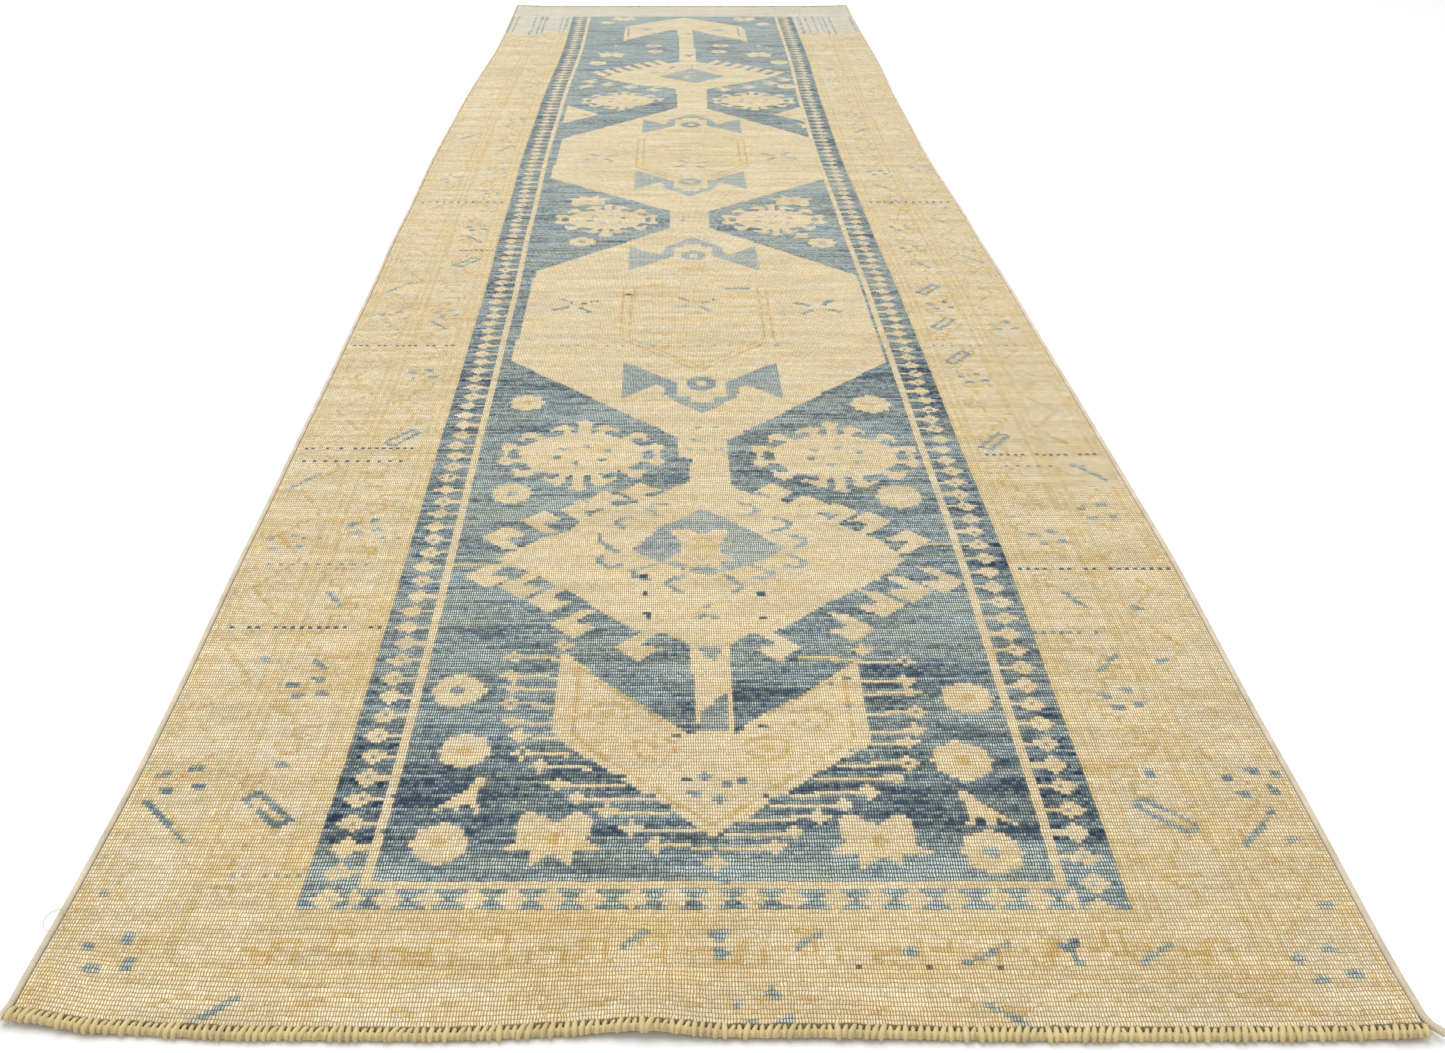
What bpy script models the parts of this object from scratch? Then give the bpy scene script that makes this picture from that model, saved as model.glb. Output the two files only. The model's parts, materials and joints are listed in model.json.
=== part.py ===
"""A long hand-knotted wool runner, laid flat.

A woven foundation carries the pile. Each side ends in a corded selvedge with yarn wrapped
round it, and each end in a turned roll of warps held by a row of stitches. The pile stands
on the foundation in areas of one yarn: borders, guard stripes, the blue field and the
figures knotted into it. Metres, +Z up, +Y along the length, and the origin is on the
floor under the middle of the runner.
"""

import math

import bmesh
import bpy
import numpy as np

# Overall sizes
LENGTH = 3.96
WIDTH = 0.944
CLEARANCE = 0.0003

# Thicknesses
FOUNDATION_THICKNESS = 0.0022
PILE_HEIGHT = 0.0025
CORD_RADIUS = 0.0015
WRAP_THICKNESS = 0.0011
WRAP_MOUTH = math.radians(50)

# Widths of the bands along the two sides, from the selvedge inwards
SIDE_BANDS = {
    "outer_border": 0.064,
    "outer_guard_lines": 0.024,
    "main_border": 0.056,
    "inner_guard_lines": 0.018,
    "blue_guard": 0.042,
    "cream_line": 0.008,
}
# The same bands across the near end, and the one plain border across the far end
NEAR_BANDS = {
    "outer_border": 0.042,
    "outer_guard_lines": 0.018,
    "main_border": 0.038,
    "inner_guard_lines": 0.019,
    "blue_guard": 0.026,
    "cream_line": 0.007,
}
FAR_BORDER = 0.158

# The ivory column down the middle of the field
NEAR_FINIAL_SPACE = 0.047
FAR_FINIAL_SPACE = 0.018
FINIAL_SIDE_SPACE = 0.112
FINIAL_SLOPE = 0.132
FINIAL_SIDE = 0.130
FINIAL_NOTCH = 0.142
POLE_HALF_WIDTH = 0.017
NEAR_POLE = 0.138
FAR_POLE = 0.400
DIAMOND_SIDE_SPACE = 0.052
NEAR_DIAMOND_HALF_LENGTH = 0.175
FAR_DIAMOND_HALF_LENGTH = 0.160
LOZENGE_HALF_WIDTH = 0.075
LOZENGE_HALF_LENGTH = 0.080
NECK_HALF_WIDTH = 0.030
NECKS = {"near": 0.115, "middle": 0.100, "far": 0.150}
HEXAGON_SIDE_SPACE = 0.010
HEXAGON_SLOPE = 1.12
HORNS_SPACE = 0.070
# The right half of a pair of horns, from its point: across, along
HORN_POINTS = (
    (0.000, 0.000), (0.045, 0.055), (0.090, 0.040), (0.098, 0.165), (0.050, 0.110),
    (0.030, 0.060), (0.000, 0.038),
)

# Figures beside the column. A share is of the field's half width
OCTAGON_SPACE = 0.022
STAR_RADIUS = 0.038
STAR_NOTCH_RADIUS = 0.025
NEAR_STAR_SHARE = 0.48
NEAR_STAR_SPACE = 0.009
POLE_STAR_SHARE = 0.71
POLE_STAR_SPACE = 0.10
FAR_STAR_SHARE = 0.66
FAR_STAR_SPACE = 0.002

# How the loom let the runner stray: (share of the length, metres)
DRIFT = (
    (0.00, -0.002), (0.08, 0.004), (0.16, 0.0055), (0.26, 0.002), (0.36, -0.001),
    (0.46, -0.008), (0.58, -0.0145), (0.68, -0.0125), (0.84, -0.0015), (1.00, -0.004),
)
SWELL = (
    (0.00, -0.005), (0.08, -0.006), (0.18, 0.004), (0.40, 0.005), (0.60, 0.002),
    (0.75, 0.001), (0.87, -0.006), (1.00, -0.002),
)
# How the near end bows: (share of the half width, metres)
NEAR_BOW = (
    (-1.00, 0.0150), (-0.85, 0.0055), (-0.65, 0.0005), (-0.40, -0.0005), (-0.15, 0.0045),
    (0.05, 0.0015), (0.50, -0.0005), (1.00, 0.0005),
)
BOW_REACH = 0.120
FIELD_DRIFT = 0.6

# How finely the shapes are drawn
STATION_SPACING = 0.13
END_SPACING = 0.10
EDGE_SAMPLES = 400
WRAP_SIDES = 8
CORD_BEVEL_STEPS = 2
WELD_DISTANCE = 0.00001

# What follows from the sizes above
EDGE_RADIUS = CORD_RADIUS + CLEARANCE + WRAP_THICKNESS
EDGE_WIDTH = 2 * EDGE_RADIUS
WOVEN_HALF_WIDTH = WIDTH / 2 - EDGE_WIDTH - CLEARANCE
WOVEN_START = EDGE_WIDTH + CLEARANCE
WOVEN_END = LENGTH - WOVEN_START
PILE_BOTTOM = FOUNDATION_THICKNESS + CLEARANCE
FAR_LINE = WOVEN_END - FAR_BORDER
FIELD_HALF_WIDTH = WOVEN_HALF_WIDTH - sum(SIDE_BANDS.values())
FIELD_START = WOVEN_START + sum(NEAR_BANDS.values())


def column_places():
    """Where each part of the column starts and ends, the hexagons sharing what is left."""
    near_tip = FIELD_START + NEAR_FINIAL_SPACE
    far_tip = FAR_LINE - FAR_FINIAL_SPACE
    places = {}
    at = near_tip
    for name, length in (("near_finial", FINIAL_NOTCH), ("near_pole", NEAR_POLE),
                         ("near_diamond", 2 * NEAR_DIAMOND_HALF_LENGTH),
                         ("near_neck", NECKS["near"])):
        places[name] = (at, at + length)
        at += length
    back = far_tip
    for name, length in (("far_finial", FINIAL_NOTCH), ("far_pole", FAR_POLE),
                         ("far_diamond", 2 * FAR_DIAMOND_HALF_LENGTH),
                         ("far_neck", NECKS["far"])):
        places[name] = (back - length, back)
        back -= length
    hexagon_length = (back - at - NECKS["middle"]) / 2
    places["near_hexagon"] = (at, at + hexagon_length)
    places["middle_neck"] = (at + hexagon_length, back - hexagon_length)
    places["far_hexagon"] = (back - hexagon_length, back)
    return places


COLUMN = column_places()
HEXAGON_MIDDLES = [sum(COLUMN[name]) / 2 for name in ("near_hexagon", "far_hexagon")]


def smooth_between(points, at):
    """The value at one place of a smooth curve through hand-set points."""
    places = [place for place, _ in points]
    values = [value for _, value in points]
    at = min(max(at, places[0]), places[-1])
    index = min(max(int(np.searchsorted(places, at)) - 1, 0), len(points) - 2)
    share = (at - places[index]) / (places[index + 1] - places[index])
    eased = share * share * (3 - 2 * share)
    return values[index] + eased * (values[index + 1] - values[index])


def laid(across, along):
    """Where a point of the straight design lies on the real runner, before centring."""
    place = along / LENGTH
    share = min(abs(across) / (WIDTH / 2), 1)
    drift = smooth_between(DRIFT, place) * (FIELD_DRIFT + (1 - FIELD_DRIFT) * share)
    x = across * (1 + smooth_between(SWELL, place) / WIDTH) + drift
    fade = 1 - max(along - WOVEN_START, 0) / BOW_REACH
    return x, along + smooth_between(NEAR_BOW, across / (WIDTH / 2)) * max(fade, 0)


def runner_middle():
    """The middle of the runner's box, which becomes the origin."""
    half_width = WIDTH / 2
    xs = [laid(side * half_width, along)[0] for side in (-1, 1)
          for along in np.linspace(0, LENGTH, EDGE_SAMPLES)]
    nearest = min(laid(across, 0)[1]
                  for across in np.linspace(-half_width, half_width, EDGE_SAMPLES))
    return (min(xs) + max(xs)) / 2, (nearest + LENGTH) / 2


MIDDLE_X, MIDDLE_Y = runner_middle()


def place_points(points):
    """Design points as points of the model."""
    laid_points = [laid(across, along) for across, along in points]
    return [(x - MIDDLE_X, y - MIDDLE_Y) for x, y in laid_points]


def divided(points, spacing):
    """The same open line with its long runs cut into even steps."""
    line = [points[0]]
    for start, end in zip(points, points[1:]):
        steps = max(1, round(math.dist(start, end) / spacing))
        line += [
            (start[0] + (end[0] - start[0]) * step / steps,
             start[1] + (end[1] - start[1]) * step / steps)
            for step in range(1, steps + 1)
        ]
    return line


def side_line(half_width, start, end):
    """A long side in even steps, with a corner beside the middle of each hexagon."""
    corners = [start, *[middle for middle in HEXAGON_MIDDLES if start < middle < end], end]
    return divided([(half_width, along) for along in corners], STATION_SPACING)


def grown(outline, by):
    """A closed counter-clockwise outline with each edge moved outwards."""
    result = []
    for index, point in enumerate(outline):
        before, after = outline[index - 1], outline[(index + 1) % len(outline)]
        into = (point[0] - before[0], point[1] - before[1])
        out = (after[0] - point[0], after[1] - point[1])
        into_normal = (into[1] / math.hypot(*into), -into[0] / math.hypot(*into))
        out_normal = (out[1] / math.hypot(*out), -out[0] / math.hypot(*out))
        scale = by / (1 + into_normal[0] * out_normal[0] + into_normal[1] * out_normal[1])
        result.append((point[0] + scale * (into_normal[0] + out_normal[0]),
                       point[1] + scale * (into_normal[1] + out_normal[1])))
    return result


def new_collection(name):
    collection = bpy.data.collections.new(name)
    bpy.context.scene.collection.children.link(collection)
    return collection


def wool(name, colour, roughness=0.9):
    material = bpy.data.materials.new(name)
    material.use_nodes = True
    surface = material.node_tree.nodes["Principled BSDF"]
    surface.inputs["Base Color"].default_value = (*colour, 1)
    surface.inputs["Roughness"].default_value = roughness
    surface.inputs["Metallic"].default_value = 0
    return material


def poly_curve(name, lines, closed):
    """A flat curve of straight-sided splines."""
    curve = bpy.data.curves.new(name, "CURVE")
    curve.dimensions = "2D"
    for line in lines:
        spline = curve.splines.new("POLY")
        spline.points.add(len(line) - 1)
        for point, (x, y) in zip(spline.points, line):
            point.co = (x, y, 0, 1)
        spline.use_cyclic_u = closed
    return curve


def slab(name, outline, bottom, thickness, material, holes=(), trim=0):
    """A flat piece of even thickness from design outlines, its outer edge trimmed back."""
    loops = [grown(place_points(outline), -trim)]
    loops += [grown(place_points(hole), CLEARANCE / 2) for hole in holes]
    curve = poly_curve(name, loops, closed=True)
    curve.fill_mode = "BOTH"
    curve.extrude = thickness / 2
    curve.materials.append(material)
    piece = bpy.data.objects.new(name, curve)
    piece.location = (0, 0, bottom + thickness / 2)
    runner.objects.link(piece)
    return piece


def pile(name, outline, material, holes=(), trim=0):
    return slab(name + "_pile", outline, PILE_BOTTOM, PILE_HEIGHT, material, holes, trim)


def figure(name, outline, material, holes=()):
    """A figure knotted into a ground, which leaves half of the clearance to it."""
    return pile(name, outline, material, holes, trim=CLEARANCE / 2)


def rectangle(half_width, start, end):
    return (divided([(-half_width, start), (half_width, start)], END_SPACING)[:-1]
            + divided([(half_width, start), (half_width, end)], STATION_SPACING)[:-1]
            + divided([(half_width, end), (-half_width, end)], END_SPACING)[:-1]
            + divided([(-half_width, end), (-half_width, start)], STATION_SPACING)[:-1])


def band(outer_half, outer_start, inner_half, inner_start):
    """A border band: across the near end and up both sides to the far border."""
    outline = []
    for half_width, start, turn in ((outer_half, outer_start, 1), (inner_half, inner_start, -1)):
        left, right = (-half_width, start), (half_width, start)
        left_side = side_line(-half_width, start, FAR_LINE)[::-1]
        right_side = side_line(half_width, start, FAR_LINE)
        outline += (left_side[:-1] + divided([left, right], END_SPACING) + right_side[1:])[::turn]
    return outline


def make_foundation():
    outline = rectangle(WOVEN_HALF_WIDTH, WOVEN_START, WOVEN_END)
    slab("foundation", outline, 0, FOUNDATION_THICKNESS, foundation_wool)


def make_wrap_section():
    """The open ring of yarn round an edge cord, its mouth towards the rug."""
    sweep = math.pi - WRAP_MOUTH
    inner_radius = EDGE_RADIUS - WRAP_THICKNESS
    turns = np.linspace(-sweep, sweep, WRAP_SIDES + 1)
    outer = [(-EDGE_RADIUS * math.cos(turn), EDGE_RADIUS * math.sin(turn)) for turn in turns]
    inner = [(-inner_radius * math.cos(turn), inner_radius * math.sin(turn)) for turn in turns]
    curve = poly_curve("wrap_section", [[(-x, y) for x, y in outer + inner[::-1]]], closed=True)
    section = bpy.data.objects.new("wrap_section", curve)
    section.hide_render = True
    section.display_type = "WIRE"
    helpers.objects.link(section)
    return section


def solid_from_curve(curve, material):
    """A mesh piece from a swept curve, with its caps joined on and its faces turned out."""
    swept = bpy.data.objects.new(curve.name, curve)
    runner.objects.link(swept)
    graph = bpy.context.evaluated_depsgraph_get()
    mesh = bpy.data.meshes.new_from_object(swept.evaluated_get(graph))
    bpy.data.objects.remove(swept)
    shape = bmesh.new()
    shape.from_mesh(mesh)
    bmesh.ops.remove_doubles(shape, verts=shape.verts, dist=WELD_DISTANCE)
    bmesh.ops.recalc_face_normals(shape, faces=shape.faces)
    shape.to_mesh(mesh)
    shape.free()
    mesh.materials.clear()
    mesh.materials.append(material)
    piece = bpy.data.objects.new(curve.name, mesh)
    piece.location = (0, 0, EDGE_RADIUS)
    runner.objects.link(piece)


def make_edge(name, line, kind, core_name, section):
    """One edge of the runner: a cord along a line, and the yarn wrapped round it."""
    points = place_points(line)
    core = poly_curve(f"{core_name}_{name}", [points], closed=False)
    core.bevel_depth = CORD_RADIUS
    core.bevel_resolution = CORD_BEVEL_STEPS
    core.use_fill_caps = True
    solid_from_curve(core, cord_wool)
    wrap = poly_curve(f"{kind}_{name}", [points], closed=False)
    wrap.bevel_mode = "OBJECT"
    wrap.bevel_object = section
    wrap.use_fill_caps = True
    solid_from_curve(wrap, grey_wool if kind == "selvedge_wrap" else straw_wool)


def make_edges():
    """Selvedges up both sides, and the stitched rolls between them at both ends."""
    section = make_wrap_section()
    side = WIDTH / 2 - EDGE_RADIUS
    left = divided([(-side, LENGTH), (-side, 0)], STATION_SPACING)
    right = divided([(side, 0), (side, LENGTH)], STATION_SPACING)
    for name, line in (("left", left), ("right", right)):
        make_edge(name, line, "selvedge_wrap", "selvedge_cord", section)
    near = divided([(-WOVEN_HALF_WIDTH, EDGE_RADIUS), (WOVEN_HALF_WIDTH, EDGE_RADIUS)], END_SPACING)
    far_along = LENGTH - EDGE_RADIUS
    far = divided([(WOVEN_HALF_WIDTH, far_along), (-WOVEN_HALF_WIDTH, far_along)], END_SPACING)
    for name, line in (("near", near), ("far", far)):
        make_edge(name, line, "end_stitching", "end_roll", section)


def make_borders():
    """The bands from the selvedge to the field, and the plain border across the far end."""
    materials = {
        "outer_border": ivory_wool,
        "outer_guard_lines": straw_wool,
        "main_border": ivory_wool,
        "inner_guard_lines": straw_wool,
        "blue_guard": blue_wool,
        "cream_line": cream_wool,
    }
    half_width, start = WOVEN_HALF_WIDTH, WOVEN_START
    for name, side_width in SIDE_BANDS.items():
        inner_half, inner_start = half_width - side_width, start + NEAR_BANDS[name]
        outline = band(half_width, start, inner_half + CLEARANCE, inner_start - CLEARANCE)
        pile(name, outline, materials[name])
        half_width, start = inner_half, inner_start
    far = rectangle(WOVEN_HALF_WIDTH, FAR_LINE + CLEARANCE, WOVEN_END)
    pile("far_border", far, grey_wool)


def mirrored(right_side):
    """A closed outline from the points of its right half, listed from the near end up."""
    left_side = [(-across, along) for across, along in reversed(right_side) if across > 0]
    return list(right_side) + left_side


def finial_half(tip, towards):
    """The right half of an end arrow; towards is 1 where it opens to the far end."""
    half_width = FIELD_HALF_WIDTH - FINIAL_SIDE_SPACE
    shoulder = tip + towards * FINIAL_SLOPE
    half = [(0, tip), (half_width, shoulder), (half_width, shoulder + towards * FINIAL_SIDE),
            (POLE_HALF_WIDTH, tip + towards * FINIAL_NOTCH)]
    return half if towards > 0 else half[::-1]


def straight_half(half_width, start, end):
    return [(half_width, start), (half_width, end)]


def diamond_half(start, end, start_half_width, end_half_width):
    corner = (FIELD_HALF_WIDTH - DIAMOND_SIDE_SPACE, (start + end) / 2)
    return [(start_half_width, start), corner, (end_half_width, end)]


def hexagon_half(start, end):
    half_width = FIELD_HALF_WIDTH - HEXAGON_SIDE_SPACE
    slope = (half_width - NECK_HALF_WIDTH) * HEXAGON_SLOPE
    side = side_line(half_width, start + slope, end - slope)
    return [(NECK_HALF_WIDTH, start), *side, (NECK_HALF_WIDTH, end)]


def lozenge(middle):
    return mirrored([(0, middle - LOZENGE_HALF_LENGTH), (LOZENGE_HALF_WIDTH, middle),
                     (0, middle + LOZENGE_HALF_LENGTH)])


def horns(tip, towards):
    """The pale blue pair of horns inside a hexagon, on one side of its middle."""
    half = [(across, tip + towards * along) for across, along in HORN_POINTS]
    return mirrored(half) if towards > 0 else mirrored(half)[::-1]


def column_halves(places):
    """The right half of each part of the column, in order from the near end."""
    return {
        "near_finial": finial_half(places["near_finial"][0], 1),
        "near_pole": straight_half(POLE_HALF_WIDTH, *places["near_pole"]),
        "near_diamond": diamond_half(*places["near_diamond"], POLE_HALF_WIDTH, NECK_HALF_WIDTH),
        "near_neck": straight_half(NECK_HALF_WIDTH, *places["near_neck"]),
        "near_hexagon": hexagon_half(*places["near_hexagon"]),
        "middle_neck": straight_half(NECK_HALF_WIDTH, *places["middle_neck"]),
        "far_hexagon": hexagon_half(*places["far_hexagon"]),
        "far_neck": straight_half(NECK_HALF_WIDTH, *places["far_neck"]),
        "far_diamond": diamond_half(*places["far_diamond"], NECK_HALF_WIDTH, POLE_HALF_WIDTH),
        "far_pole": straight_half(POLE_HALF_WIDTH, *places["far_pole"]),
        "far_finial": finial_half(places["far_finial"][1], -1),
    }


def column_edge(halves):
    """The right edge of the whole column, from its near tip to its far tip."""
    edge = []
    for half in halves.values():
        edge += [point for point in half if not edge or point != edge[-1]]
    return edge


def make_column(places, halves):
    """The ivory column down the field, with the pale blue figures set into it."""
    inner_figures = {}
    for name in ("near_diamond", "far_diamond"):
        inner_figures[name] = {"lozenge": lozenge(sum(places[name]) / 2)}
    for name in ("near_hexagon", "far_hexagon"):
        start, end = places[name]
        inner_figures[name] = {"lower_horns": horns(start + HORNS_SPACE, 1),
                               "upper_horns": horns(end - HORNS_SPACE, -1)}
    for name, half in halves.items():
        inner = inner_figures.get(name, {})
        figure(name, mirrored(half), cream_wool, holes=inner.values())
        for inner_name, outline in inner.items():
            figure(f"{name}_{inner_name}", outline, pale_blue_wool)


def octagon(side, middle):
    """A figure that fills the space between a neck of the column and the field's edge."""
    across = side * (NECK_HALF_WIDTH + FIELD_HALF_WIDTH) / 2
    radius = (FIELD_HALF_WIDTH - NECK_HALF_WIDTH) / 2 - OCTAGON_SPACE
    turns = [math.radians(45 * corner + 22.5) for corner in range(8)]
    return [(across + radius * math.cos(turn), middle + radius * math.sin(turn))
            for turn in turns]


def star(across, along):
    """An eight-pointed star."""
    points = []
    for corner in range(16):
        radius = STAR_NOTCH_RADIUS if corner % 2 else STAR_RADIUS
        turn = math.radians(22.5 * corner)
        points.append((across + radius * math.cos(turn), along + radius * math.sin(turn)))
    return points


def make_side_figures(places):
    """Octagons beside the necks and stars beside the arrows. It gives their outlines."""
    star_rows = {
        "near": (FIELD_START + NEAR_STAR_SPACE + STAR_RADIUS, NEAR_STAR_SHARE),
        "far_pole": (places["far_pole"][0] + POLE_STAR_SPACE, POLE_STAR_SHARE),
        "far": (FAR_LINE - FAR_STAR_SPACE - STAR_RADIUS, FAR_STAR_SHARE),
    }
    outlines = {}
    for side_name, side in (("left", -1), ("right", 1)):
        for neck in ("near_neck", "middle_neck", "far_neck"):
            outlines[f"{neck}_octagon_{side_name}"] = octagon(side, sum(places[neck]) / 2)
        for row, (along, share) in star_rows.items():
            outlines[f"{row}_star_{side_name}"] = star(side * share * FIELD_HALF_WIDTH, along)
    for name, outline in outlines.items():
        figure(name, outline, cream_wool)
    return list(outlines.values())


def field_outlines(edge):
    """The field round each arrow, and its two sides beside the middle neck.

    It is parted at the middle of each hexagon, where it is only a thin strip."""
    half_width = FIELD_HALF_WIDTH + CLEARANCE / 2
    start, end = FIELD_START - CLEARANCE / 2, FAR_LINE + CLEARANCE / 2
    near_cut, far_cut = HEXAGON_MIDDLES
    near_edge = [point for point in edge if point[1] <= near_cut]
    middle_edge = [point for point in edge if near_cut <= point[1] <= far_cut]
    far_edge = [point for point in edge if point[1] >= far_cut]
    near_outer = (side_line(-half_width, start, near_cut)[::-1][:-1]
                  + divided([(-half_width, start), (half_width, start)], END_SPACING)
                  + side_line(half_width, start, near_cut)[1:])
    far_outer = (side_line(half_width, far_cut, end)[:-1]
                 + divided([(half_width, end), (-half_width, end)], END_SPACING)
                 + side_line(-half_width, far_cut, end)[::-1][1:])
    middle_right = side_line(half_width, near_cut, far_cut) + middle_edge[::-1]
    return {
        "field_near": near_outer + near_edge[::-1] + [(-x, y) for x, y in near_edge[1:]],
        "field_middle_left": [(-x, y) for x, y in middle_right[::-1]],
        "field_middle_right": middle_right,
        "field_far": far_outer + [(-x, y) for x, y in far_edge[:-1]] + far_edge[::-1],
    }


def make_field(edge, figures):
    """The field's four areas, each with holes for the figures that stand in it."""
    near_cut, far_cut = HEXAGON_MIDDLES
    for name, outline in field_outlines(edge).items():
        holes = []
        for hole in figures:
            across, along = np.mean(hole, axis=0)
            side = "left" if across < 0 else "right"
            place = "near" if along < near_cut else "far" if along > far_cut else f"middle_{side}"
            if name == f"field_{place}":
                holes.append(hole)
        figure(name, outline, blue_wool, holes)


for startup_object in list(bpy.data.objects):
    bpy.data.objects.remove(startup_object)

runner = new_collection("runner_rug")
helpers = new_collection("helpers")

foundation_wool = wool("foundation_wool", (0.62, 0.53, 0.40))
cord_wool = wool("cord_wool", (0.60, 0.52, 0.38))
grey_wool = wool("grey_beige_wool", (0.55, 0.50, 0.42))
straw_wool = wool("straw_wool", (0.66, 0.53, 0.30))
ivory_wool = wool("ivory_wool", (0.76, 0.66, 0.47))
cream_wool = wool("cream_wool", (0.80, 0.70, 0.52))
blue_wool = wool("blue_wool", (0.13, 0.20, 0.30))
pale_blue_wool = wool("pale_blue_wool", (0.33, 0.40, 0.42))

make_foundation()
make_edges()
make_borders()
column_parts = column_halves(COLUMN)
make_column(COLUMN, column_parts)
make_field(column_edge(column_parts), make_side_figures(COLUMN))
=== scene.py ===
"""A long hand-knotted wool runner with worn blue and ivory pile, laid flat on a pale floor.

The frame gives every area of the runner its place. Each area is tufted here knot by knot
in the yarns of the design, and the bound edges, the stitches and the backing are added.
"""

import json
import math

import bpy
import numpy as np
from mathutils.bvhtree import BVHTree
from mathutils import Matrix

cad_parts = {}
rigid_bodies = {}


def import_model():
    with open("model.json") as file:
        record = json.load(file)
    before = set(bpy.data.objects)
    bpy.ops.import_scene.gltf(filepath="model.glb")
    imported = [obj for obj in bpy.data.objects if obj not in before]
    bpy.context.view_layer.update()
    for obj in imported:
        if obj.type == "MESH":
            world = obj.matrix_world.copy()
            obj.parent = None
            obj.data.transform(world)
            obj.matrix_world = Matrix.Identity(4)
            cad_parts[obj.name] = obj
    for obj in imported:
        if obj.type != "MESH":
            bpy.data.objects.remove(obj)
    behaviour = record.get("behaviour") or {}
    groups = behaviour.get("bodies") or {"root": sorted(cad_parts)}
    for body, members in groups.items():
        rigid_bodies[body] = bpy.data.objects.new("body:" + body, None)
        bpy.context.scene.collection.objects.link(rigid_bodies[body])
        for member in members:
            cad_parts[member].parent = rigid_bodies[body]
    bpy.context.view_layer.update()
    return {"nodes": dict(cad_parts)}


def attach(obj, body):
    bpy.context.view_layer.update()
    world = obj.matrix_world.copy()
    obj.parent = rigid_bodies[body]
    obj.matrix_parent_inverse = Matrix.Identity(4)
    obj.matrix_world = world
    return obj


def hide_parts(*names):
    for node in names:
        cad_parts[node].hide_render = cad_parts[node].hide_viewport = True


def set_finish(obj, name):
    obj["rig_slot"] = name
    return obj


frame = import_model()


# The backing.
# Undyed wool warps run the whole length and wefts cross them. The loom let the cloth stray
# a little to both sides, so its lines are not quite straight.

LENGTH = 3.96
WIDTH = 0.944
CLEARANCE = 0.0003
EDGE_RADIUS = 0.0029
WOVEN_HALF_WIDTH = WIDTH / 2 - 2 * EDGE_RADIUS - CLEARANCE
WOVEN_START = 2 * EDGE_RADIUS + CLEARANCE
WOVEN_END = LENGTH - WOVEN_START
BACKING_THICKNESS = 0.0022
DRIFT = (
    (0.00, -0.002), (0.08, 0.004), (0.16, 0.0055), (0.26, 0.002), (0.36, -0.001),
    (0.46, -0.008), (0.58, -0.0145), (0.68, -0.0125), (0.84, -0.0015), (1.00, -0.004),
)
SWELL = (
    (0.00, -0.005), (0.08, -0.006), (0.18, 0.004), (0.40, 0.005), (0.60, 0.002),
    (0.75, 0.001), (0.87, -0.006), (1.00, -0.002),
)
NEAR_BOW = (
    (-1.00, 0.0150), (-0.85, 0.0055), (-0.65, 0.0005), (-0.40, -0.0005), (-0.15, 0.0045),
    (0.05, 0.0015), (0.50, -0.0005), (1.00, 0.0005),
)
BOW_REACH = 0.120
FIELD_DRIFT = 0.6
EDGE_SAMPLES = 400

WARP_PAIRS = 228
KNOT_ROWS = 897

# Places where the cloth doesn't lie quite flat: across, along, size across, size along, height
RIPPLES = (
    (-0.045, 0.010, 0.035, 0.045, 0.0045), (0.07, 0.0, 0.06, 0.05, 0.0012),
    (-0.46, 0.03, 0.05, 0.06, 0.0030), (0.47, 0.02, 0.04, 0.04, 0.0025),
    (-0.47, 0.62, 0.03, 0.12, 0.0016), (0.47, 0.95, 0.03, 0.15, 0.0014),
    (-0.47, 1.55, 0.03, 0.20, 0.0016), (0.47, 1.85, 0.03, 0.16, 0.0016),
    (0.46, 3.93, 0.05, 0.06, 0.0030), (-0.46, 3.94, 0.05, 0.05, 0.0024),
)


def smooth_between(points, at):
    """The values at some places of a smooth curve through given points."""
    places, values = np.array(points).T
    at = np.clip(at, places[0], places[-1])
    index = np.clip(np.searchsorted(places, at) - 1, 0, len(places) - 2)
    share = (at - places[index]) / (places[index + 1] - places[index])
    eased = share * share * (3 - 2 * share)
    return values[index] + eased * (values[index + 1] - values[index])


def laid(across, along):
    """Where points of the straight design lie on the real runner, from its near end."""
    across, along = np.broadcast_arrays(np.asarray(across, float), np.asarray(along, float))
    place = along / LENGTH
    share = np.minimum(abs(across) / (WIDTH / 2), 1)
    drift = smooth_between(DRIFT, place) * (FIELD_DRIFT + (1 - FIELD_DRIFT) * share)
    x = across * (1 + smooth_between(SWELL, place) / WIDTH) + drift
    fade = np.clip(1 - np.maximum(along - WOVEN_START, 0) / BOW_REACH, 0, None)
    return x, along + smooth_between(NEAR_BOW, across / (WIDTH / 2)) * fade


edge_alongs = np.linspace(0, LENGTH, EDGE_SAMPLES)
edge_xs = np.concatenate([laid(side * WIDTH / 2, edge_alongs)[0] for side in (-1, 1)])
near_ys = laid(np.linspace(-WIDTH / 2, WIDTH / 2, EDGE_SAMPLES), 0)[1]
MIDDLE_X = (edge_xs.min() + edge_xs.max()) / 2
MIDDLE_Y = (near_ys.min() + LENGTH) / 2


def lift(x, y):
    """How far the cloth stands off the floor at points given from the near end."""
    height = np.zeros(np.shape(x))
    for across, along, wide, deep, tall in RIPPLES:
        height = height + tall * np.exp(-((x - across) / wide) ** 2 - ((y - along) / deep) ** 2)
    return height


def in_place(across, along, height):
    """Design points as points of the model, raised with the cloth."""
    x, y = laid(across, along)
    return np.stack([x - MIDDLE_X, y - MIDDLE_Y, height + lift(x, y)], axis=-1)


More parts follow.
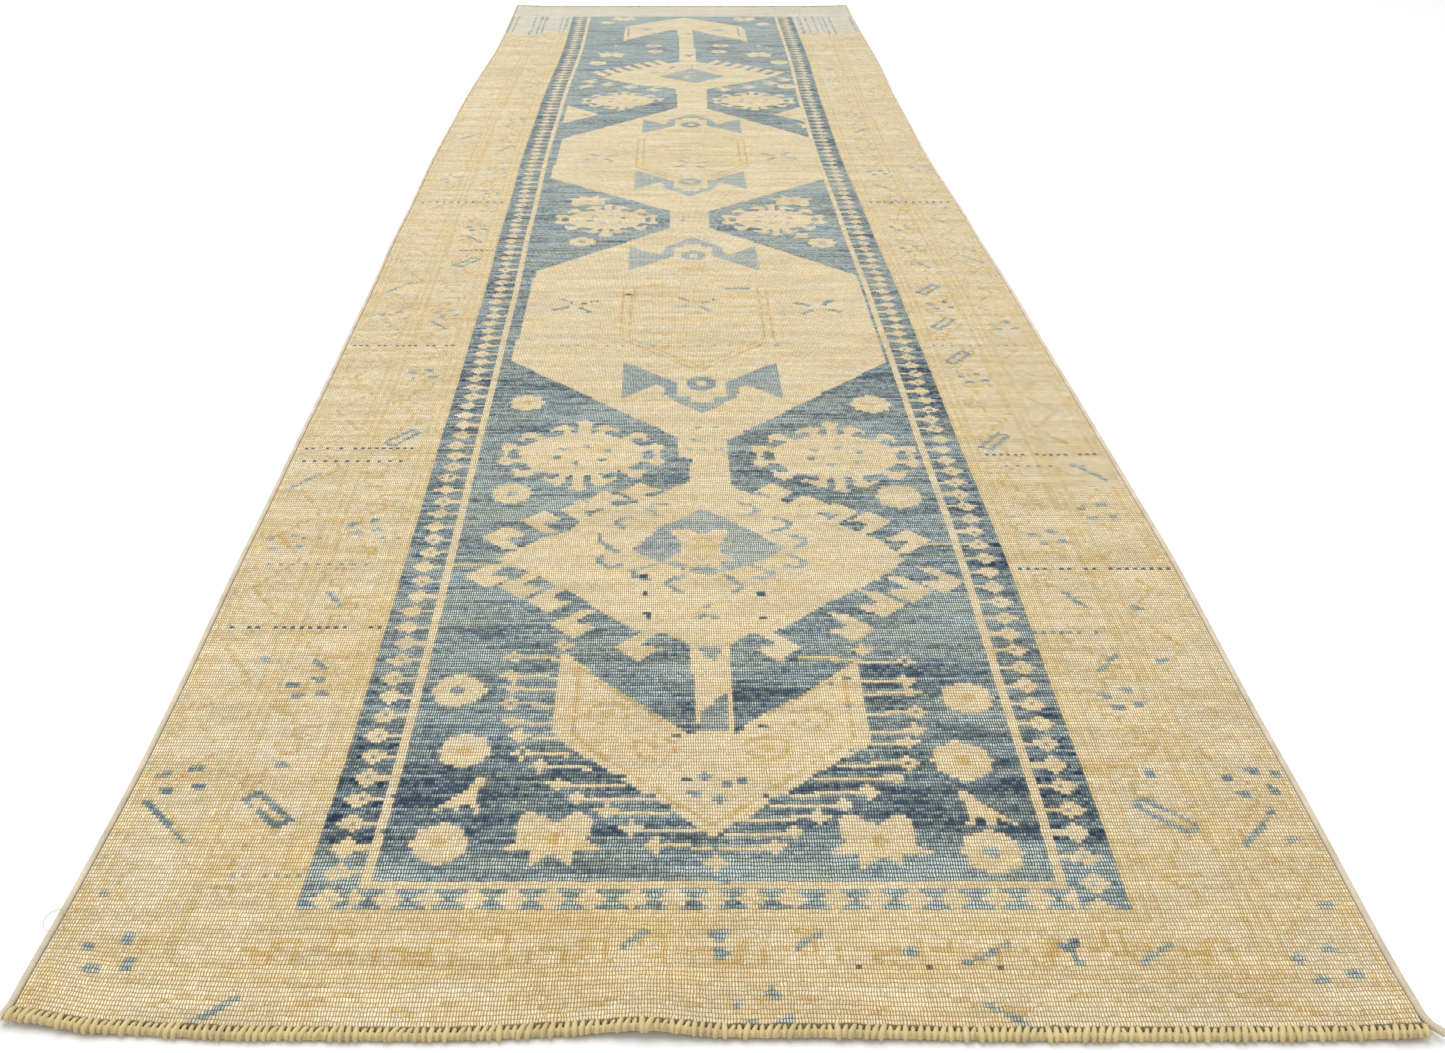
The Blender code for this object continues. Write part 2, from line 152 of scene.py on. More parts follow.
def mesh_from_arrays(name, points, faces):
    """A mesh from an array of points and some arrays of faces, each of one side count."""
    corners = np.concatenate([face.ravel() for face in faces])
    sides = np.concatenate([np.full(len(face), face.shape[1]) for face in faces])
    mesh = bpy.data.meshes.new(name)
    mesh.vertices.add(len(points))
    mesh.vertices.foreach_set("co", points.astype(np.float32).ravel())
    mesh.loops.add(len(corners))
    mesh.loops.foreach_set("vertex_index", corners.astype(np.int32))
    mesh.polygons.add(len(sides))
    mesh.polygons.foreach_set("loop_start", (np.cumsum(sides) - sides).astype(np.int32))
    mesh.update(calc_edges=True)
    mesh.validate()
    return mesh


def new_piece(name, mesh):
    """A mesh as an object of the scene."""
    piece = bpy.data.objects.new(name, mesh)
    bpy.context.scene.collection.objects.link(piece)
    return piece


def finish_piece(piece, slot, *nodes):
    """The calls that every finished piece takes."""
    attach(piece, "root")
    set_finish(piece, slot)
    if nodes:
        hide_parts(*nodes)


def from_srgb(red, green, blue):
    """A colour as a dyer's card shows it, turned into light values."""
    return tuple(((value / 255 + 0.055) / 1.055) ** 2.4 for value in (red, green, blue))


def new_wool(name, roughness=0.88, sheen=0.12):
    """A wool material, and its tree, its surface and a short way to add and join nodes."""
    material = bpy.data.materials.new(name)
    material.use_nodes = True
    tree = material.node_tree
    surface = tree.nodes["Principled BSDF"]
    surface.inputs["Roughness"].default_value = roughness
    surface.inputs["Sheen Weight"].default_value = sheen
    surface.inputs["Sheen Roughness"].default_value = 0.6
    surface.inputs["Specular IOR Level"].default_value = 0.25

    def add(kind, *links, **values):
        node = tree.nodes.new(kind)
        for key, value in values.items():
            if hasattr(node, key):
                setattr(node, key, value)
            else:
                node.inputs[key.replace("_", " ")].default_value = value
        for socket, source in links:
            tree.links.new(source, node.inputs[socket])
        return node

    return material, tree, surface, add


def fixed(add, kind, operation, source, amount):
    """A number or vector changed by a fixed amount."""
    node = add(kind, (0, source), operation=operation)
    node.inputs[1].default_value = amount
    return node.outputs[0]


def shaded(add, colour, shade):
    """A colour made lighter or darker by a number."""
    grey = add("ShaderNodeCombineXYZ", *((axis, shade.outputs[0]) for axis in range(3)))
    mixed = add("ShaderNodeMix", (6, colour), (7, grey.outputs[0]), data_type="RGBA",
                blend_type="MULTIPLY")
    mixed.inputs[0].default_value = 1.0
    return mixed.outputs[2]


def fibres(add, scale=900.0, along=0.35):
    """The fine lint of spun wool, longer along the pile than across it."""
    place = add("ShaderNodeTexCoord").outputs["Object"]
    turned = add("ShaderNodeMapping", ("Vector", place), Scale=(1.0, along, 1.0))
    return add("ShaderNodeTexNoise", ("Vector", turned.outputs["Vector"]), Scale=scale,
               Detail=3.0, Roughness=0.7)


# The pile.
# About 200,000 knots of coloured wool, tied one by one round pairs of warps in straight
# rows. Long wear has lowered the tips and bared their paler side, most of all on the blue.

rng = np.random.default_rng(19)
column_edges = np.linspace(-WOVEN_HALF_WIDTH, WOVEN_HALF_WIDTH, WARP_PAIRS + 1)
row_edges = np.linspace(WOVEN_START, WOVEN_END, KNOT_ROWS + 1)
ACROSS, ALONG = np.meshgrid((column_edges[:-1] + column_edges[1:]) / 2,
                            (row_edges[:-1] + row_edges[1:]) / 2)
X, Y = laid(ACROSS, ALONG)
SHAPE = X.shape
lattice_across, lattice_along = np.meshgrid(column_edges, row_edges)
KNOT_WANDER = 0.00034
ROW_WANDER = 0.0007
wandering = rng.normal(0, KNOT_WANDER, (2, KNOT_ROWS - 1, WARP_PAIRS - 1))

# Each yarn: its deep colour, its worn colour, and its gaps' painted shade, 0 for ivory, 1 for blue
YARNS = {
    "blue": (from_srgb(44, 77, 99), from_srgb(206, 210, 193), 1.0),
    "slate": (from_srgb(118, 140, 146), from_srgb(196, 202, 188), 0.8),
    "navy": (from_srgb(34, 58, 86), from_srgb(92, 114, 128), 1.0),
    "sky": (from_srgb(142, 156, 156), from_srgb(216, 217, 200), 0.8),
    "ivory": (from_srgb(212, 193, 151), from_srgb(248, 235, 203), 0.0),
    "cream": (from_srgb(214, 197, 157), from_srgb(249, 236, 204), 0.0),
    "gold": (from_srgb(200, 170, 108), from_srgb(232, 212, 160), 0.0),
    "straw": (from_srgb(210, 186, 130), from_srgb(242, 224, 178), 0.0),
    "grey": (from_srgb(216, 208, 188), from_srgb(242, 236, 218), 0.15),
    "olive": (from_srgb(84, 74, 42), from_srgb(120, 106, 66), 0.3),
}
YARN_NAMES = list(YARNS)
DEEP = np.array([YARNS[name][0] for name in YARN_NAMES])
WORN = np.array([YARNS[name][1] for name in YARN_NAMES])
GAP_SHADES = np.array([YARNS[name][2] for name in YARN_NAMES])
yarn = np.full(SHAPE, YARN_NAMES.index("blue"))


def cloudy(across_size, along_size, across=ACROSS, along=ALONG):
    """Soft random patches of a given size over the whole runner, from 0 to 1."""
    shape = (int(LENGTH / along_size) + 3, int(WIDTH / across_size) + 3)
    grid = rng.random(shape)
    rows, columns = along / along_size, (across + WIDTH / 2) / across_size
    row, column = rows.astype(int), columns.astype(int)
    up, right = rows - row, columns - column
    up, right = up * up * (3 - 2 * up), right * right * (3 - 2 * right)
    near = grid[row, column] * (1 - right) + grid[row, column + 1] * right
    far = grid[row + 1, column] * (1 - right) + grid[row + 1, column + 1] * right
    return near * (1 - up) + far * up


row_waves = cloudy(0.05, 0.03, lattice_across, lattice_along) - 0.5
lattice_along[1:-1, :] += 2 * ROW_WANDER * row_waves[1:-1, :]
lattice_across[1:-1, 1:-1] += wandering[0]
lattice_along[1:-1, 1:-1] += wandering[1]

# How far the blue has worn towards its pale side along the runner: (along, share)
FADE = (
    (0.12, 0.95), (0.172, 1.00), (0.195, 0.70), (0.215, 0.42), (0.27, 0.38), (0.31, 0.52),
    (0.36, 0.74), (0.41, 0.62), (0.47, 0.70), (0.56, 0.72), (0.70, 0.76), (0.84, 0.70),
    (1.00, 0.74), (1.15, 0.56), (1.25, 0.80), (1.60, 0.82), (1.80, 0.82), (2.05, 0.92),
    (2.30, 0.90), (2.55, 0.74), (2.75, 0.86), (2.95, 0.96), (3.10, 0.74), (3.30, 0.96),
    (3.45, 1.00), (3.60, 1.05), (3.75, 1.12), (3.95, 1.10),
)
MOST_WORN = 1.12
streaks = cloudy(0.045, 0.0044) - 0.5
wear = (smooth_between(FADE, Y) + 0.45 * (cloudy(0.07, 0.025) - 0.5) + 0.80 * streaks
        + 0.30 * (cloudy(0.20, 0.08) - 0.5) + 0.62 * (rng.random(SHAPE) - 0.5))
wear = np.clip(wear, 0, MOST_WORN)
lightness = 1 + 0.12 * (rng.random(SHAPE) - 0.5) + 0.10 * (cloudy(0.20, 0.0044) - 0.5)
lit = 0.60 + 0.55 * (cloudy(0.06, 0.010) - 0.5) + 0.50 * (rng.random(SHAPE) - 0.5)
ivory_wear = np.clip(lit, 0, 1)

# Here and there a darker thread was tied in, or shows through: rows of single dark knots.
# Each row: along, its two ends across, one knot in how many, rows tall, yarn
DARK_ROWS = (
    (0.518, -0.456, -0.300, 2, 1, "navy"), (0.512, 0.300, 0.370, 2, 1, "slate"),
    (0.635, 0.316, 0.470, 2, 1, "navy"), (0.640, -0.440, -0.330, 3, 1, "slate"),
    (0.700, -0.420, -0.310, 4, 1, "slate"), (0.163, -0.360, -0.305, 2, 1, "sky"),
    (0.925, -0.460, -0.318, 2, 1, "navy"), (0.890, -0.460, -0.330, 3, 1, "navy"),
    (0.905, 0.330, 0.460, 2, 1, "navy"), (0.876, 0.340, 0.468, 3, 1, "slate"),
    (1.258, -0.460, -0.320, 2, 1, "navy"), (1.258, -0.180, 0.130, 5, 1, "slate"),
    (1.258, 0.320, 0.450, 3, 1, "slate"), (1.680, -0.370, -0.308, 2, 1, "navy"),
    (1.948, -0.470, -0.320, 3, 3, "slate"), (1.948, 0.310, 0.460, 3, 3, "slate"),
    (0.258, -0.200, 0.250, 31, 1, "navy"), (0.066, 0.085, 0.215, 6, 1, "olive"),
)
TICK_SHARE = 0.8
threads = np.full(SHAPE, -1)
for along, start, end, every, tall, name in DARK_ROWS:
    row = np.argmin(abs(Y[:, WARP_PAIRS // 2] - along))
    ticks = np.zeros(SHAPE, bool)
    ticks[row:row + tall] = rng.random((tall, WARP_PAIRS)) < TICK_SHARE
    ticks &= (X > start) & (X < end) & (np.arange(WARP_PAIRS) % every == 0)
    threads[ticks] = YARN_NAMES.index(name)

# Wool of different sheep and dye lots: some patches are yellower and some greyer
warmth = 0.9 * (cloudy(0.05, 0.020) - 0.5) + 0.7 * (cloudy(0.012, 0.009) - 0.5)
WARM = np.array((0.03, -0.04, -0.22))


def knot(where, name):
    """Ties the knots of a place in one yarn."""
    yarn[where] = YARN_NAMES.index(name)


def some(where, share):
    """Some of the knots of a place, as where thin yarn has worn through."""
    return where & (thinned < share)


thinned = cloudy(0.012, 0.009) * 0.6 + rng.random(SHAPE) * 0.4


def around(points, margin):
    """The knots in the upright box round some points, and a margin past it."""
    xs, ys = np.array(points).T
    return ((X > xs.min() - margin) & (X < xs.max() + margin)
            & (Y > ys.min() - margin) & (Y < ys.max() + margin))


def within(points):
    """The knots inside a closed outline."""
    result = np.zeros(SHAPE, bool)
    near = around(points, 0)
    x, y = X[near], Y[near]
    inside = np.zeros(x.shape, bool)
    for (start_x, start_y), (end_x, end_y) in zip(points, points[1:] + points[:1]):
        if start_y != end_y:
            slope = (end_x - start_x) / (end_y - start_y)
            crossed = (start_y > y) != (end_y > y)
            inside ^= crossed & (x < start_x + (y - start_y) * slope)
    result[near] = inside
    return result


def line(points, width=0.0045):
    """The knots along an open line."""
    result = np.zeros(SHAPE, bool)
    near = around(points, width)
    x, y = X[near], Y[near]
    close = np.zeros(x.shape, bool)
    for (start_x, start_y), (end_x, end_y) in zip(points, points[1:]):
        run_x, run_y = end_x - start_x, end_y - start_y
        share = ((x - start_x) * run_x + (y - start_y) * run_y) / (run_x ** 2 + run_y ** 2)
        share = np.clip(share, 0, 1)
        close |= np.hypot(x - start_x - share * run_x, y - start_y - share * run_y) < width / 2
    result[near] = close
    return result


def disc(x, y, radius_across, radius_along=None):
    """The knots inside a round or oval spot."""
    reach = radius_along or radius_across
    return ((X - x) / radius_across) ** 2 + ((Y - y) / reach) ** 2 < 1


# Each knot belongs to the area of the frame that it stands in
pile_nodes = [name for name in frame["nodes"] if name.endswith("_pile")]
area_corners = []
area_faces = []
face_areas = []
for index, name in enumerate(pile_nodes):
    node_mesh = bpy.data.objects[name].data
    start = len(area_corners)
    area_corners += [vertex.co[:] for vertex in node_mesh.vertices]
    area_faces += [[start + corner for corner in face.vertices] for face in node_mesh.polygons]
    face_areas += [index] * len(node_mesh.polygons)
area_tree = BVHTree.FromPolygons(area_corners, area_faces)
pile_top = max(corner[2] for corner in area_corners)
PILE_BOTTOM = min(corner[2] for corner in area_corners)
PILE_HEIGHT = pile_top - PILE_BOTTOM
area = np.array([
    face_areas[area_tree.find_nearest((x, y, pile_top))[2]]
    for x, y in zip((X - MIDDLE_X).ravel(), (Y - MIDDLE_Y).ravel())
]).reshape(SHAPE)


def standing_in(*names):
    """The knots of some areas of the frame."""
    return np.isin(area, [pile_nodes.index(name) for name in names])


def new_tree(name, *numbers):
    """An empty node tree with named inputs, and short ways to fill and finish it."""
    tree = bpy.data.node_groups.new(name, "GeometryNodeTree")
    kinds = [("Geometry", "Geometry"), *[(number, "Float") for number in numbers],
             ("Seed", "Int"), ("Wool", "Material")]
    for title, kind in kinds:
        tree.interface.new_socket(title, in_out="INPUT", socket_type="NodeSocket" + kind)
    tree.interface.new_socket("Geometry", in_out="OUTPUT", socket_type="NodeSocketGeometry")
    given = tree.nodes.new("NodeGroupInput").outputs
    result = tree.nodes.new("NodeGroupOutput")

    def add(kind, *inputs, **settings):
        """A node's main output. Each input is a socket to join it to, or a value."""
        node = tree.nodes.new(kind)
        for key, value in settings.items():
            setattr(node, key, value)
        for socket, value in inputs:
            if isinstance(value, bpy.types.NodeSocket):
                tree.links.new(value, node.inputs[socket])
            else:
                node.inputs[socket].default_value = value
        return next(output for output in node.outputs if output.enabled)

    def maths(operation, first, second=0.0):
        """The result of one sum on two numbers or sockets."""
        return add("ShaderNodeMath", (0, first), (1, second), operation=operation)

    def chance(low, high, step):
        """A number drawn for each point. Each step of the seed gives another draw."""
        seed = maths("ADD", given["Seed"], float(step))
        return add("FunctionNodeRandomValue", ("Min", low), ("Max", high), ("Seed", seed),
                   data_type="FLOAT")

    def finish(geometry):
        """Makes the result plain mesh in its wool, and gives back the whole tree."""
        real = add("GeometryNodeRealizeInstances", (0, geometry))
        dressed = add("GeometryNodeSetMaterial", (0, real), ("Material", given["Wool"]))
        tree.links.new(dressed, result.inputs[0])
        return tree

    return given, add, maths, chance, finish


def relief_tree():
    """Nodes that raise the flat knots of an area to worn, uneven tips."""
    given, add, maths, chance, finish = new_tree(
        "knotted_relief", "Pile height", "Crown height", "Wear", "Stray")
    rise, crown, worn = (
        add("GeometryNodeInputNamedAttribute", ("Name", name), data_type="FLOAT")
        for name in ("rise", "crown", "worn"))
    rim = maths("SUBTRACT", given["Pile height"], given["Crown height"])
    kept = maths("SUBTRACT", 1.0, maths("MULTIPLY", given["Wear"], worn))
    tip = maths("MULTIPLY", given["Crown height"], kept)
    uneven = maths("MULTIPLY", tip, chance(0.75, 1.15, 0))
    height = maths("ADD", maths("MULTIPLY", rise, rim), maths("MULTIPLY", crown, uneven))
    stray = maths("MULTIPLY", crown, given["Stray"])
    offset = add("ShaderNodeCombineXYZ", ("X", maths("MULTIPLY", stray, chance(-1.0, 1.0, 1))),
                 ("Y", maths("MULTIPLY", stray, chance(-1.0, 1.0, 2))), ("Z", height))
    return finish(add("GeometryNodeSetPosition", ("Geometry", given["Geometry"]),
                      ("Offset", offset)))


def apply_tree(piece, tree, **values):
    """Runs a node tree on a piece with its named inputs, and keeps the plain result."""
    modifier = piece.modifiers.new(tree.name, "NODES")
    modifier.node_group = tree
    sockets = {item.name: item.identifier for item in tree.interface.items_tree
               if item.in_out == "INPUT"}
    for name, value in values.items():
        modifier[sockets[name.replace("_", " ")]] = value
    graph = bpy.context.evaluated_depsgraph_get()
    mesh = bpy.data.meshes.new_from_object(piece.evaluated_get(graph))
    mesh.name = piece.name
    name = piece.name
    bpy.data.objects.remove(piece)
    return new_piece(name, mesh)


# How far the edges of the tips waver, how many tips a knot shows each way, how strong the gap
# between rows is beside the one between tips, and the painted shade the gaps put on ivory and blue
# yarn
TIP_WAVER = (0.16, 0.30, 0.0)
TIPS_PER_KNOT = (2.0, 1.0, 1.0)
ROW_GAP_SHARE = 1.3
IVORY_GAP_SHADE = (0.50, 0.39, 0.20, 1)
BLUE_GAP_SHADE = (0.08, 0.15, 0.22, 1)


def pile_wool(name, roughness):
    """Wool pile: two rounded tips to a knot, darker where one tip meets the next: painted shade."""
    material, tree, surface, add = new_wool(name, roughness)
    link = tree.links.new
    tint = add("ShaderNodeAttribute", attribute_name="yarn")
    knots = add("ShaderNodeUVMap", uv_map="knots")
    place = add("ShaderNodeTexCoord").outputs["Object"]
    waver = add("ShaderNodeTexNoise", ("Vector", place), Scale=210.0, Detail=2.0)
    waver_step = fixed(add, "ShaderNodeVectorMath", "SUBTRACT", waver.outputs["Color"],
                       (0.5, 0.5, 0.5))
    waver_part = fixed(add, "ShaderNodeVectorMath", "MULTIPLY", waver_step, TIP_WAVER)
    moved = add("ShaderNodeVectorMath", (0, knots.outputs[0]), (1, waver_part),
                operation="ADD")
    counted = fixed(add, "ShaderNodeVectorMath", "MULTIPLY", moved.outputs[0], TIPS_PER_KNOT)
    share = add("ShaderNodeVectorMath", (0, counted), operation="FRACTION")
    centred = fixed(add, "ShaderNodeVectorMath", "SUBTRACT", share.outputs[0], (0.5, 0.5, 0.0))
    sizes = add("ShaderNodeVectorMath", (0, centred), operation="ABSOLUTE")
    parts = add("ShaderNodeSeparateXYZ", (0, sizes.outputs[0]))
    across = fixed(add, "ShaderNodeMath", "POWER", parts.outputs["X"], 3.0)
    along = fixed(add, "ShaderNodeMath", "POWER", parts.outputs["Y"], 4.0)
    along_part = fixed(add, "ShaderNodeMath", "MULTIPLY", along, ROW_GAP_SHARE)
    both = add("ShaderNodeMath", (0, across), (1, along_part), operation="ADD")
    full = add("ShaderNodeMapRange", ("Value", tint.outputs["Alpha"]), To_Min=0.085,
               To_Max=0.060)
    tip = add("ShaderNodeMapRange", ("Value", both.outputs[0]), ("From Max", full.outputs[0]),
              From_Min=0.002, To_Min=1.0, To_Max=0.0)
    tip.interpolation_type = "SMOOTHSTEP"
    # The gaps get painted shade, dark tan on ivory and dark navy on blue; on blue it is partly the
    # yarn's real deeper colour below its worn tips
    gap_shade_tint = add("ShaderNodeMix", (0, tint.outputs["Alpha"]), data_type="RGBA")
    gap_shade_tint.inputs[6].default_value = IVORY_GAP_SHADE
    gap_shade_tint.inputs[7].default_value = BLUE_GAP_SHADE
    gap = add("ShaderNodeMix", (6, tint.outputs["Color"]), (7, gap_shade_tint.outputs[2]),
              data_type="RGBA", blend_type="MULTIPLY")
    gap.inputs[0].default_value = 1.0
    body = add("ShaderNodeMix", (0, tip.outputs[0]), (6, gap.outputs[2]),
               (7, tint.outputs["Color"]), data_type="RGBA")
    lint = fibres(add)
    shade = add("ShaderNodeMapRange", ("Value", lint.outputs["Fac"]), From_Min=0.25,
                From_Max=0.75, To_Min=0.86, To_Max=1.12)
    link(shaded(add, body.outputs[2], shade), surface.inputs["Base Color"])
    raised = add("ShaderNodeMath", (0, lint.outputs["Fac"]), (2, tip.outputs[0]),
                 operation="MULTIPLY_ADD")
    raised.inputs[1].default_value = 0.35
    bump = add("ShaderNodeBump", ("Height", raised.outputs[0]), Distance=0.0007, Strength=0.8)
    link(bump.outputs[0], surface.inputs["Normal"])
    return material


relief = relief_tree()
PIECE_GAP = 0.00001
CROWN_HEIGHT = 0.0010
LINT_MIX = 0.30
CORNERS = ((0, 0), (0, 1), (1, 1), (1, 0))
TOWARDS_CENTRE = ((1, 1), (-1, 1), (-1, -1), (1, -1))
OUTWARD_STEPS = ((-1, 0), (0, 1), (1, 0), (0, -1))


def middle_of(lattice):
    """The mean of the four corners of every cell."""
    return (lattice[:-1, :-1] + lattice[:-1, 1:] + lattice[1:, :-1] + lattice[1:, 1:]) / 4


def knot_mesh(name, where):
    """A closed slab of the knots of one area, each with a point to raise at its middle."""
    padded = np.pad(where, 1)
    near_left, near_right = padded[:-1, :-1], padded[:-1, 1:]
    far_left, far_right = padded[1:, :-1], padded[1:, 1:]
    pinched = ((near_left & far_right & ~near_right & ~far_left)
               | (near_right & far_left & ~near_left & ~far_right))
    rows, columns = np.nonzero(where)
    count = len(rows)
    keys = np.stack([
        2 * ((rows + up) * (WARP_PAIRS + 1) + columns + right)
        + (pinched[rows + up, columns + right] & (up == 0))
        for up, right in CORNERS
    ], axis=1)
    used, corners = np.unique(keys, return_inverse=True)
    corners = corners.reshape(count, 4)
    push = np.zeros((len(used), 2))
    for side, direction in enumerate(TOWARDS_CENTRE):
        np.add.at(push, corners[:, side], direction)
    across = lattice_across.ravel()[used // 2] + np.sign(push[:, 0]) * PIECE_GAP
    along = lattice_along.ravel()[used // 2] + np.sign(push[:, 1]) * PIECE_GAP
    rims = in_place(across, along, PILE_BOTTOM)
    tips = in_place(middle_of(lattice_across)[rows, columns],
                    middle_of(lattice_along)[rows, columns], PILE_BOTTOM)
    points = np.concatenate([rims, rims, tips])
    crowns = 2 * len(used) + np.arange(count)
    slopes = np.concatenate([
        np.stack([corners[:, side], corners[:, (side + 1) % 4], crowns], axis=1)
        for side in range(4)
    ])
    backs = corners[:, ::-1] + len(used)
    walls = []
    wall_knots = []
    for side, (step_up, step_right) in enumerate(OUTWARD_STEPS):
        open_side = ~padded[rows + 1 + step_up, columns + 1 + step_right]
        start, end = corners[open_side, side], corners[open_side, (side + 1) % 4]
        walls.append(np.stack([end, start, start + len(used), end + len(used)], axis=1))
        wall_knots.append(np.flatnonzero(open_side))
    mesh = mesh_from_arrays(name, points, [slopes, np.concatenate([backs, *walls])])
    knot_of_face = np.concatenate([np.tile(np.arange(count), 4), np.arange(count), *wall_knots])
    smooth = np.arange(len(knot_of_face)) < 4 * count
    mesh.polygons.foreach_set("use_smooth", smooth)
    sharpen_rims(mesh, np.concatenate(walls)[:, :2])
    corner_sides = np.where(smooth, 3, 4)
    knot_of_corner = np.repeat(knot_of_face, corner_sides)
    add_relief(mesh, len(used), count, ivory_or_blue_wear()[rows, columns])
    add_colours(mesh, knot_of_corner, used, rows, columns)
    add_knot_map(mesh, used, rows, columns)
    return mesh


def sharpen_rims(mesh, rims):
    """Keeps the shading of the knots from running over the edge of their area."""
    count = len(mesh.vertices)
    ends = np.empty(2 * len(mesh.edges), np.int32)
    mesh.edges.foreach_get("vertices", ends)
    edges, rims = (np.sort(pairs.reshape(-1, 2).astype(np.int64), axis=1)
                   for pairs in (ends, rims))
    sharp = np.isin(edges[:, 0] * count + edges[:, 1], rims[:, 0] * count + rims[:, 1])
    layer = mesh.attributes.new("sharp_edge", "BOOLEAN", "EDGE")
    layer.data.foreach_set("value", sharp)


def ivory_or_blue_wear():
    """How worn each knot is, by the kind of yarn that it is tied in."""
    return np.where(GAP_SHADES[yarn] > 0.5, wear, ivory_wear)


def add_relief(mesh, rim_count, knot_count, worn):
    """Marks what the relief nodes raise: the top of the slab, its crowns and their wear."""
    for name, rim, back, crown in (("rise", 1, 0, 1), ("crown", 0, 0, 1)):
        values = [np.full(rim_count, rim), np.full(rim_count, back), np.full(knot_count, crown)]
        layer = mesh.attributes.new(name, "FLOAT", "POINT")
        layer.data.foreach_set("value", np.concatenate(values).astype(np.float32))
    values = np.concatenate([np.zeros(2 * rim_count), worn])
    layer = mesh.attributes.new("worn", "FLOAT", "POINT")
    layer.data.foreach_set("value", values.astype(np.float32))


# Paler and bluer towards the far end: how much of red, green and blue is added by there
FAR_PALE = np.array((0.04, 0.08, 0.17))


def knot_colours():
    """The colour of every knot, and how dark the painted shade in its gaps is."""
    tied = np.where(threads < 0, yarn, threads)
    worn = ivory_or_blue_wear()[..., None]
    colour = DEEP[tied] * (1 - worn) + WORN[tied] * worn
    colour *= lightness[..., None] * (1 + warmth[..., None] * WARM)
    colour *= 1 + (Y / LENGTH)[..., None] * FAR_PALE
    return np.concatenate([colour, GAP_SHADES[tied][..., None]], axis=2)


def corner_points_of(mesh):
    """Which point each corner of the mesh's faces stands on."""
    corner_points = np.empty(len(mesh.loops), np.int32)
    mesh.loops.foreach_get("vertex_index", corner_points)
    return corner_points


def write_colours(mesh, colours):
    """Gives each corner of the mesh's faces its yarn colour."""
    layer = mesh.color_attributes.new("yarn", "FLOAT_COLOR", "CORNER")
    layer.data.foreach_set("color", colours.astype(np.float32).ravel())


def write_knot_map(mesh, places):
    """Maps the mesh by the place of each of its points, counted in knots and rows."""
    layer = mesh.uv_layers.new(name="knots")
    corner_places = places[corner_points_of(mesh)]
    layer.data.foreach_set("uv", corner_places.astype(np.float32).ravel())


def add_colours(mesh, knot_of_corner, used, rows, columns):
    """Each knot in its own colour, a little mixed with its neighbours' at its corners."""
    colours = knot_colours()
    around_knots = middle_of(np.pad(colours, ((1, 1), (1, 1), (0, 0)), "edge"))
    around_knots = around_knots.reshape(-1, 4)[used // 2]
    own = colours[rows, columns]
    at_points = np.concatenate([around_knots, around_knots, own])
    at_corners = at_points[corner_points_of(mesh)]
    write_colours(mesh, own[knot_of_corner] * (1 - LINT_MIX) + at_corners * LINT_MIX)


def add_knot_map(mesh, used, rows, columns):
    """A map that counts the knots across and the rows along."""
    lattice_columns = (used // 2) % (WARP_PAIRS + 1)
    lattice_rows = (used // 2) // (WARP_PAIRS + 1)
    rims = np.stack([lattice_columns, lattice_rows], axis=1)
    tips = np.stack([columns + 0.5, rows + 0.5], axis=1)
    write_knot_map(mesh, np.concatenate([rims, rims, tips]))


def tuft(node, slot, wool):
    """Makes the knots of one area of the frame as one piece."""
    name = node.replace("_pile", "_knots")
    piece = new_piece(name, knot_mesh(name, standing_in(node)))
    piece = apply_tree(piece, relief, Pile_height=PILE_HEIGHT, Crown_height=CROWN_HEIGHT,
                       Wear=0.45, Stray=0.00035, Seed=7, Wool=wool)
    finish_piece(piece, slot, node)
    return piece


ivory_wool = pile_wool("worn_ivory_pile", 0.86)
straw_wool = pile_wool("worn_straw_pile", 0.88)
cream_wool = pile_wool("worn_cream_pile", 0.84)
grey_wool = pile_wool("worn_grey_pile", 0.90)
blue_wool = pile_wool("worn_blue_pile", 0.82)
pale_blue_wool = pile_wool("worn_pale_blue_pile", 0.84)


# The outer border.
# Ivory wool with a faint gold zigzag, and small worn blue figures here and there: bars laid
# aslant, and groups of four spots.

GOLD_LINE = 0.0042
BAR_WIDTH = 0.0052


def bar(start, end, name="slate"):
    """A slanting bar of a few knots."""
    knot(some(line([start, end], BAR_WIDTH), 0.86), name)


def spots(places, radius=0.0056, name="slate"):
    """Small spots of a few knots each, with ragged edges."""
    for x, y in places:
        knot(some(disc(x, y, radius, radius * 0.9), 0.80), name)


def four_spots(x, y, spread=0.016, name="slate"):
    """Four spots set askew round a place."""
    spots([(x - spread, y + 0.4 * spread), (x + 0.5 * spread, y + spread),
           (x + spread, y - 0.6 * spread), (x - 0.5 * spread, y - 0.9 * spread)], name=name)


outer = standing_in("outer_border_pile")
knot(outer, "ivory")
for side in (-1, 1):
    zigzag = [(side * (0.405 + 0.034 * (step % 2)), 0.10 + 0.055 * step) for step in range(70)]
    knot(outer & some(line(zigzag, GOLD_LINE), 0.55), "gold")
    for inset in (0.006, 0.015):
        stripe = abs(abs(ACROSS) - WOVEN_HALF_WIDTH + inset) < 0.0024
        knot(outer & (side * ACROSS > 0) & some(stripe, 0.62), "straw")
near_zigzag = [(-0.40 + 0.05 * step, 0.022 + 0.018 * (step % 2)) for step in range(17)]
knot(outer & some(line(near_zigzag, GOLD_LINE), 0.55), "gold")
four_spots(-0.424, 0.281)
four_spots(0.433, 0.277)
four_spots(-0.419, 0.078)
four_spots(0.420, 0.068, name="sky")
for x, y in ((0.031, 0.024), (-0.425, 1.375), (0.43, 1.335), (-0.43, 0.690), (0.425, 0.760),
             (-0.428, 2.10), (0.432, 2.18)):
    four_spots(x, y, name="sky")
bar((-0.443, 0.250), (-0.401, 0.200))
bar((0.441, 0.240), (0.405, 0.197))
bar((-0.350, 0.010), (-0.322, 0.036))
